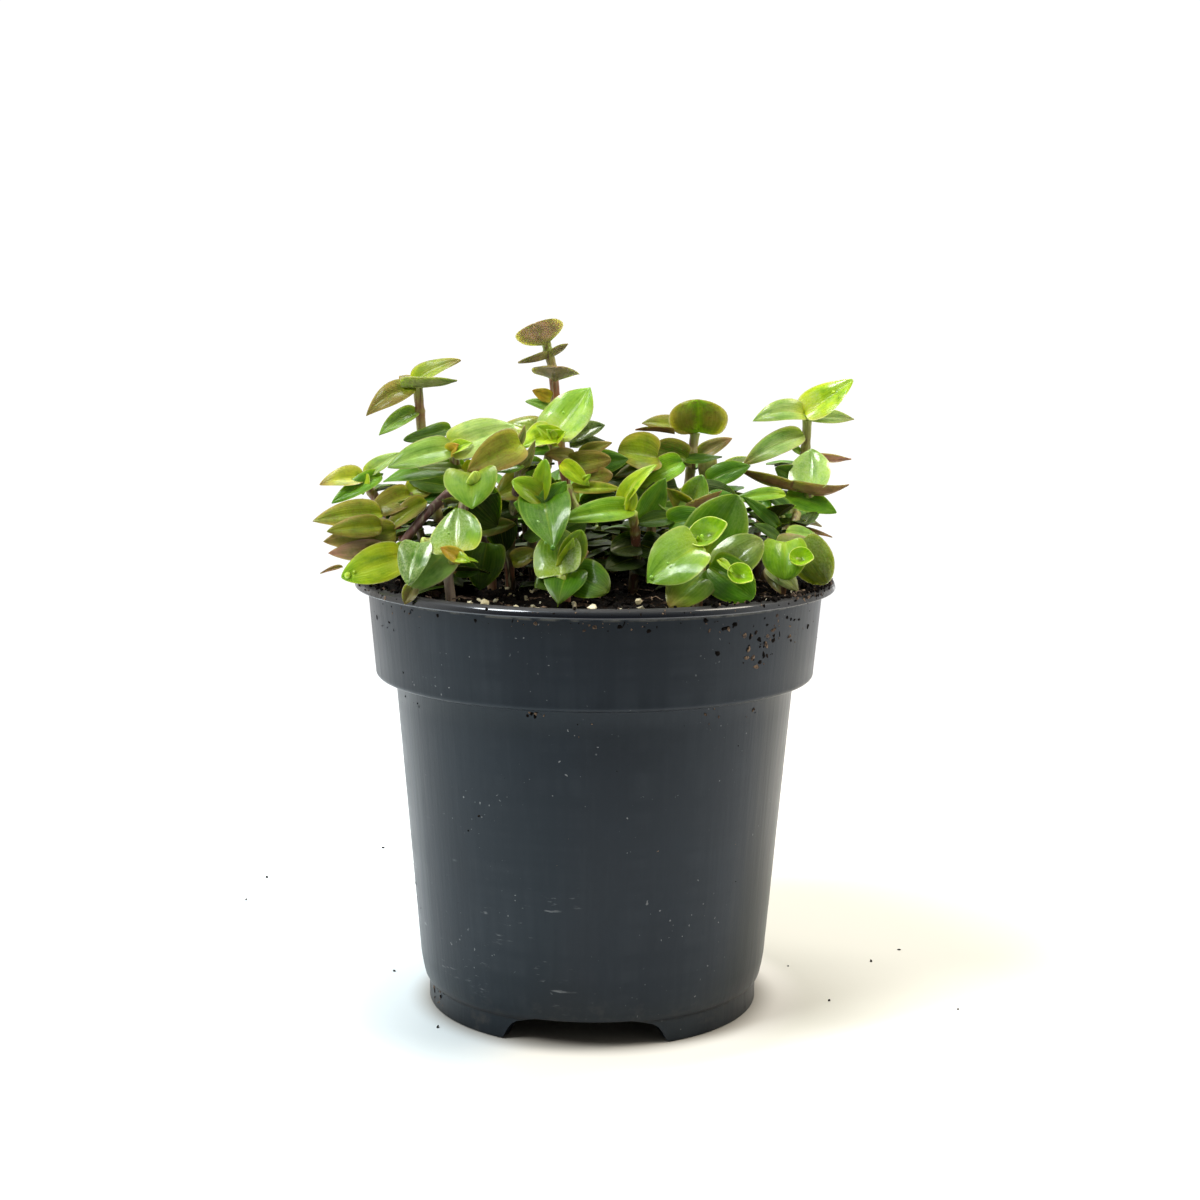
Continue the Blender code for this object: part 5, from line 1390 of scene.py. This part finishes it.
rnd = random.Random(23)
sprigs = {part: (Gathered(), Gathered()) for part in ("left", "middle", "right", "rear")}
for x, y in sprig_spots(rnd):
    part = "rear" if y > 14 else "left" if x < -15 else "right" if x > 15 else "middle"
    stems, leaves = sprigs[part]
    rise = rnd.uniform(5, 12) + (6 if y > -8 else 0) + (3 if y > 14 else 0)
    rise -= 5 * (math.hypot(x, y) / CRUST_RADIUS) ** 3
    lean = Vector((x, y, 0)) / CRUST_RADIUS * rnd.uniform(2, 6)
    foot = Vector((x, y, MIX_TOP_Z - 2))
    top = Vector((x, y, MIX_TOP_Z + rise)) + lean
    middle = (foot + top) / 2 + Vector((rnd.uniform(-1, 1), rnd.uniform(-1, 1), 0.5))
    stalk(stems, [foot, middle, top], "b" + rnd.choice("tbr") + rnd.choice("lot"), SPRIG_GIRTH)
    turn = rnd.uniform(0, 360)
    for level, spot in enumerate((middle, top - (top - middle) * 0.3, top)):
        for turn_by in (0, 180):
            way = turn + 75 * level + turn_by + rnd.uniform(-25, 25)
            reach = rnd.uniform(7, 10) * (0.8 if level == 2 else 1.0)
            out = facing_vector(way, 0) * reach
            tip = spot + Vector((out.x, out.y, rnd.uniform(-2.0, 2.5) + level))
            if tip.y > -28 and math.hypot(tip.x, tip.y) < 50 and tip.z < 118:
                # Only the darkest tones at the front and at the lowest level: painted shade inside the
                # foliage.
                tones = ("dusk", "shade", "dark", "deep", "green") if y > 4 else ("dusk", "shade", "dusk")
                tone = rnd.choice(tones if level else ("shade", "dusk"))
                wide = reach * rnd.uniform(0.72, 0.9)
                leaf(leaves, tuple(spot), tuple(tip), wide, (way, 60), 0.2, 0.5, tone)
for part, (stems, leaves) in sprigs.items():
    stems.piece(f"sprig_stems_{part}", skin, "stem")
    leaves.piece(f"sprig_leaves_{part}", flesh, "leaf_dark", sharp=80)

# ---------------------------------------------------------------- the floor, the light and the camera
# None of these is part of the object: a pale surface to stand on, with shade painted around
# the pot, an even white room that is dimmer on the viewer's side, three soft lamps, and the
# camera, which are placed in metres.
FLOOR_HALF = 6000.0
FAR_WHITE = 1.06
SENSOR_WIDTH, FOCAL_LENGTH = 36.0, 61.95
EYE = (0.00107, -0.450, 0.1554)
LOOKS_DOWN, LEANS = math.radians(8.35), 0.008


def surface():
    """The floor: pale, with painted shade and shadow around the pot, and as bright as the room far out."""
    mat, shader, place = finish_of("pale_floor")
    away = place.node("ShaderNodeVectorMath", {"operation": "LENGTH"}, {0: place}, 1)
    sideways, back, _ = place.parts()
    base = place.colour((0.82, 0.80, 0.74), (0.83, 0.81, 0.75), place.noise(6, 2))
    # Painted shade: the painted shadow lies behind a slanting line that runs back to the right; in front of
    # it the floor is a plain whiter grey.
    behind = (back - sideways * 0.55).step(-0.064, -0.046)
    base = base.colour((0.86, 0.86, 0.87), base, behind)
    # Painted bluish shade left of the pot, deeper close to it.
    left = sideways.step(-0.010, -0.035)
    base = base.over((0.76, 0.82, 0.85), left)
    base = base.over((0.60, 0.67, 0.69), left * away.step(0.072, 0.046) * behind)
    # Painted warm shadow right of the pot, darker further back.
    shade = base.colour((0.74, 0.73, 0.65), (0.62, 0.61, 0.54), back.step(-0.012, 0.028))
    right_painted_shadow = away.step(0.042, 0.050) * away.step(0.150, 0.090) * sideways.step(0.002, 0.026)
    base = base.over(shade, right_painted_shadow * behind)
    # Painted contact shadow: a dark ring where the pot stands.
    base = base.colour((0.27, 0.25, 0.215), base, away.step(0.0335, 0.0425))
    # Near the viewer the floor is darker for all rays but the camera's. This is painted dimming, so that the
    # floor throws less light onto the pot's front.
    nearer = back.step(-0.11, -0.24) * (1 - place.node("ShaderNodeLightPath", {}, {}))
    base = base.over((0.40, 0.40, 0.40), nearer)
    feed(shader, Base_Color=base, Roughness=0.75 + place.noise(40) * 0.1, Specular_IOR_Level=0.2)
    glow = place.node("ShaderNodeEmission", {}, {"Strength": FAR_WHITE})
    matter = Wire(place.tree, shader.outputs[0])
    far = away.step(0.26, 0.50) * (1 - nearer)
    both = place.node("ShaderNodeMixShader", {}, {0: far, 1: matter, 2: glow})
    place.tree.links.new(both.socket, place.tree.nodes["Material Output"].inputs["Surface"])
    return mat


corners = [(FLOOR_HALF * x, FLOOR_HALF * y, 0) for x, y in ((-1, -1), (1, -1), (1, 1), (-1, 1))]
floor = solid("floor", corners, [(0, 1, 2, 3)], surface())
# Crumbs that fell beside the pot: x, y and size.
STRAYS = [(-33, -25, 0.5), (-88, 89, 0.5), (-90, 68, 0.4), (53, -6, 0.35), (46, 18, 0.3),
          (74, 31, 0.4), (81, -11, 0.3), (66, 22, 0.35), (-60, 120, 0.5), (-46, 12, 0.3)]
strays = Gathered()
for x, y, size in STRAYS:
    strays.add(*put(chunk(rnd, size, 0.5), x, y, 0.3 * size))
stray = solid("stray_crumbs", strays.points, strays.faces, dirt)

room = bpy.data.worlds.new("white_room")
room.use_nodes = True
back = room.node_tree.nodes["Background"]
sky = Wire(room.node_tree)
_, depth, rise = sky.node("ShaderNodeTexCoord", {}, {}).parts()
wall = 0.10 + depth.step(-0.95, 0.30)
ceiling = 0.45 + depth.step(-0.80, 0.15) * 0.50
light = wall * (1 - rise.step(0.20, 0.80)) + rise.step(0.20, 0.80) * ceiling
seen = sky.node("ShaderNodeLightPath", {}, {})
level = light * (1 - seen) + seen * FAR_WHITE
white = sky.colour((1.0, 0.99, 0.955), (1.0, 1.0, 1.0), seen)
room.node_tree.links.new(white.socket, back.inputs["Color"])
room.node_tree.links.new(level.socket, back.inputs["Strength"])
bpy.context.scene.world = room


def lamp(name, spot, aim, size, watts, tint):
    data = bpy.data.lights.new(name, "AREA")
    data.shape, data.size, data.energy, data.color = "DISK", size, watts, tint
    obj = bpy.data.objects.new(name, data)
    obj.location = spot
    obj.rotation_euler = (Vector(aim) - Vector(spot)).to_track_quat("-Z", "Y").to_euler()
    bpy.context.collection.objects.link(obj)


lamp("key_lamp", (-0.57, -0.41, 0.82), (0, 0, 0.10), 0.40, 9.0, (0.95, 0.98, 1.0))
lamp("top_lamp", (-0.15, 0.32, 1.05), (0, 0, 0.10), 0.50, 8.0, (1.0, 1.0, 1.0))
lamp("warm_lamp", (0.65, -0.10, 0.80), (0, 0, 0.05), 0.40, 4.5, (1.0, 0.90, 0.76))

lens = bpy.data.cameras.new("camera")
lens.sensor_width, lens.lens = SENSOR_WIDTH, FOCAL_LENGTH
lens.clip_start = 0.01
camera = bpy.data.objects.new("camera", lens)
camera.matrix_world = (Matrix.Translation(EYE) @ Matrix.Rotation(math.pi / 2 - LOOKS_DOWN, 4, "X")
                       @ Matrix.Rotation(LEANS, 4, "Z"))
bpy.context.collection.objects.link(camera)
bpy.context.scene.camera = camera
bpy.context.scene.view_settings.view_transform = "Standard"
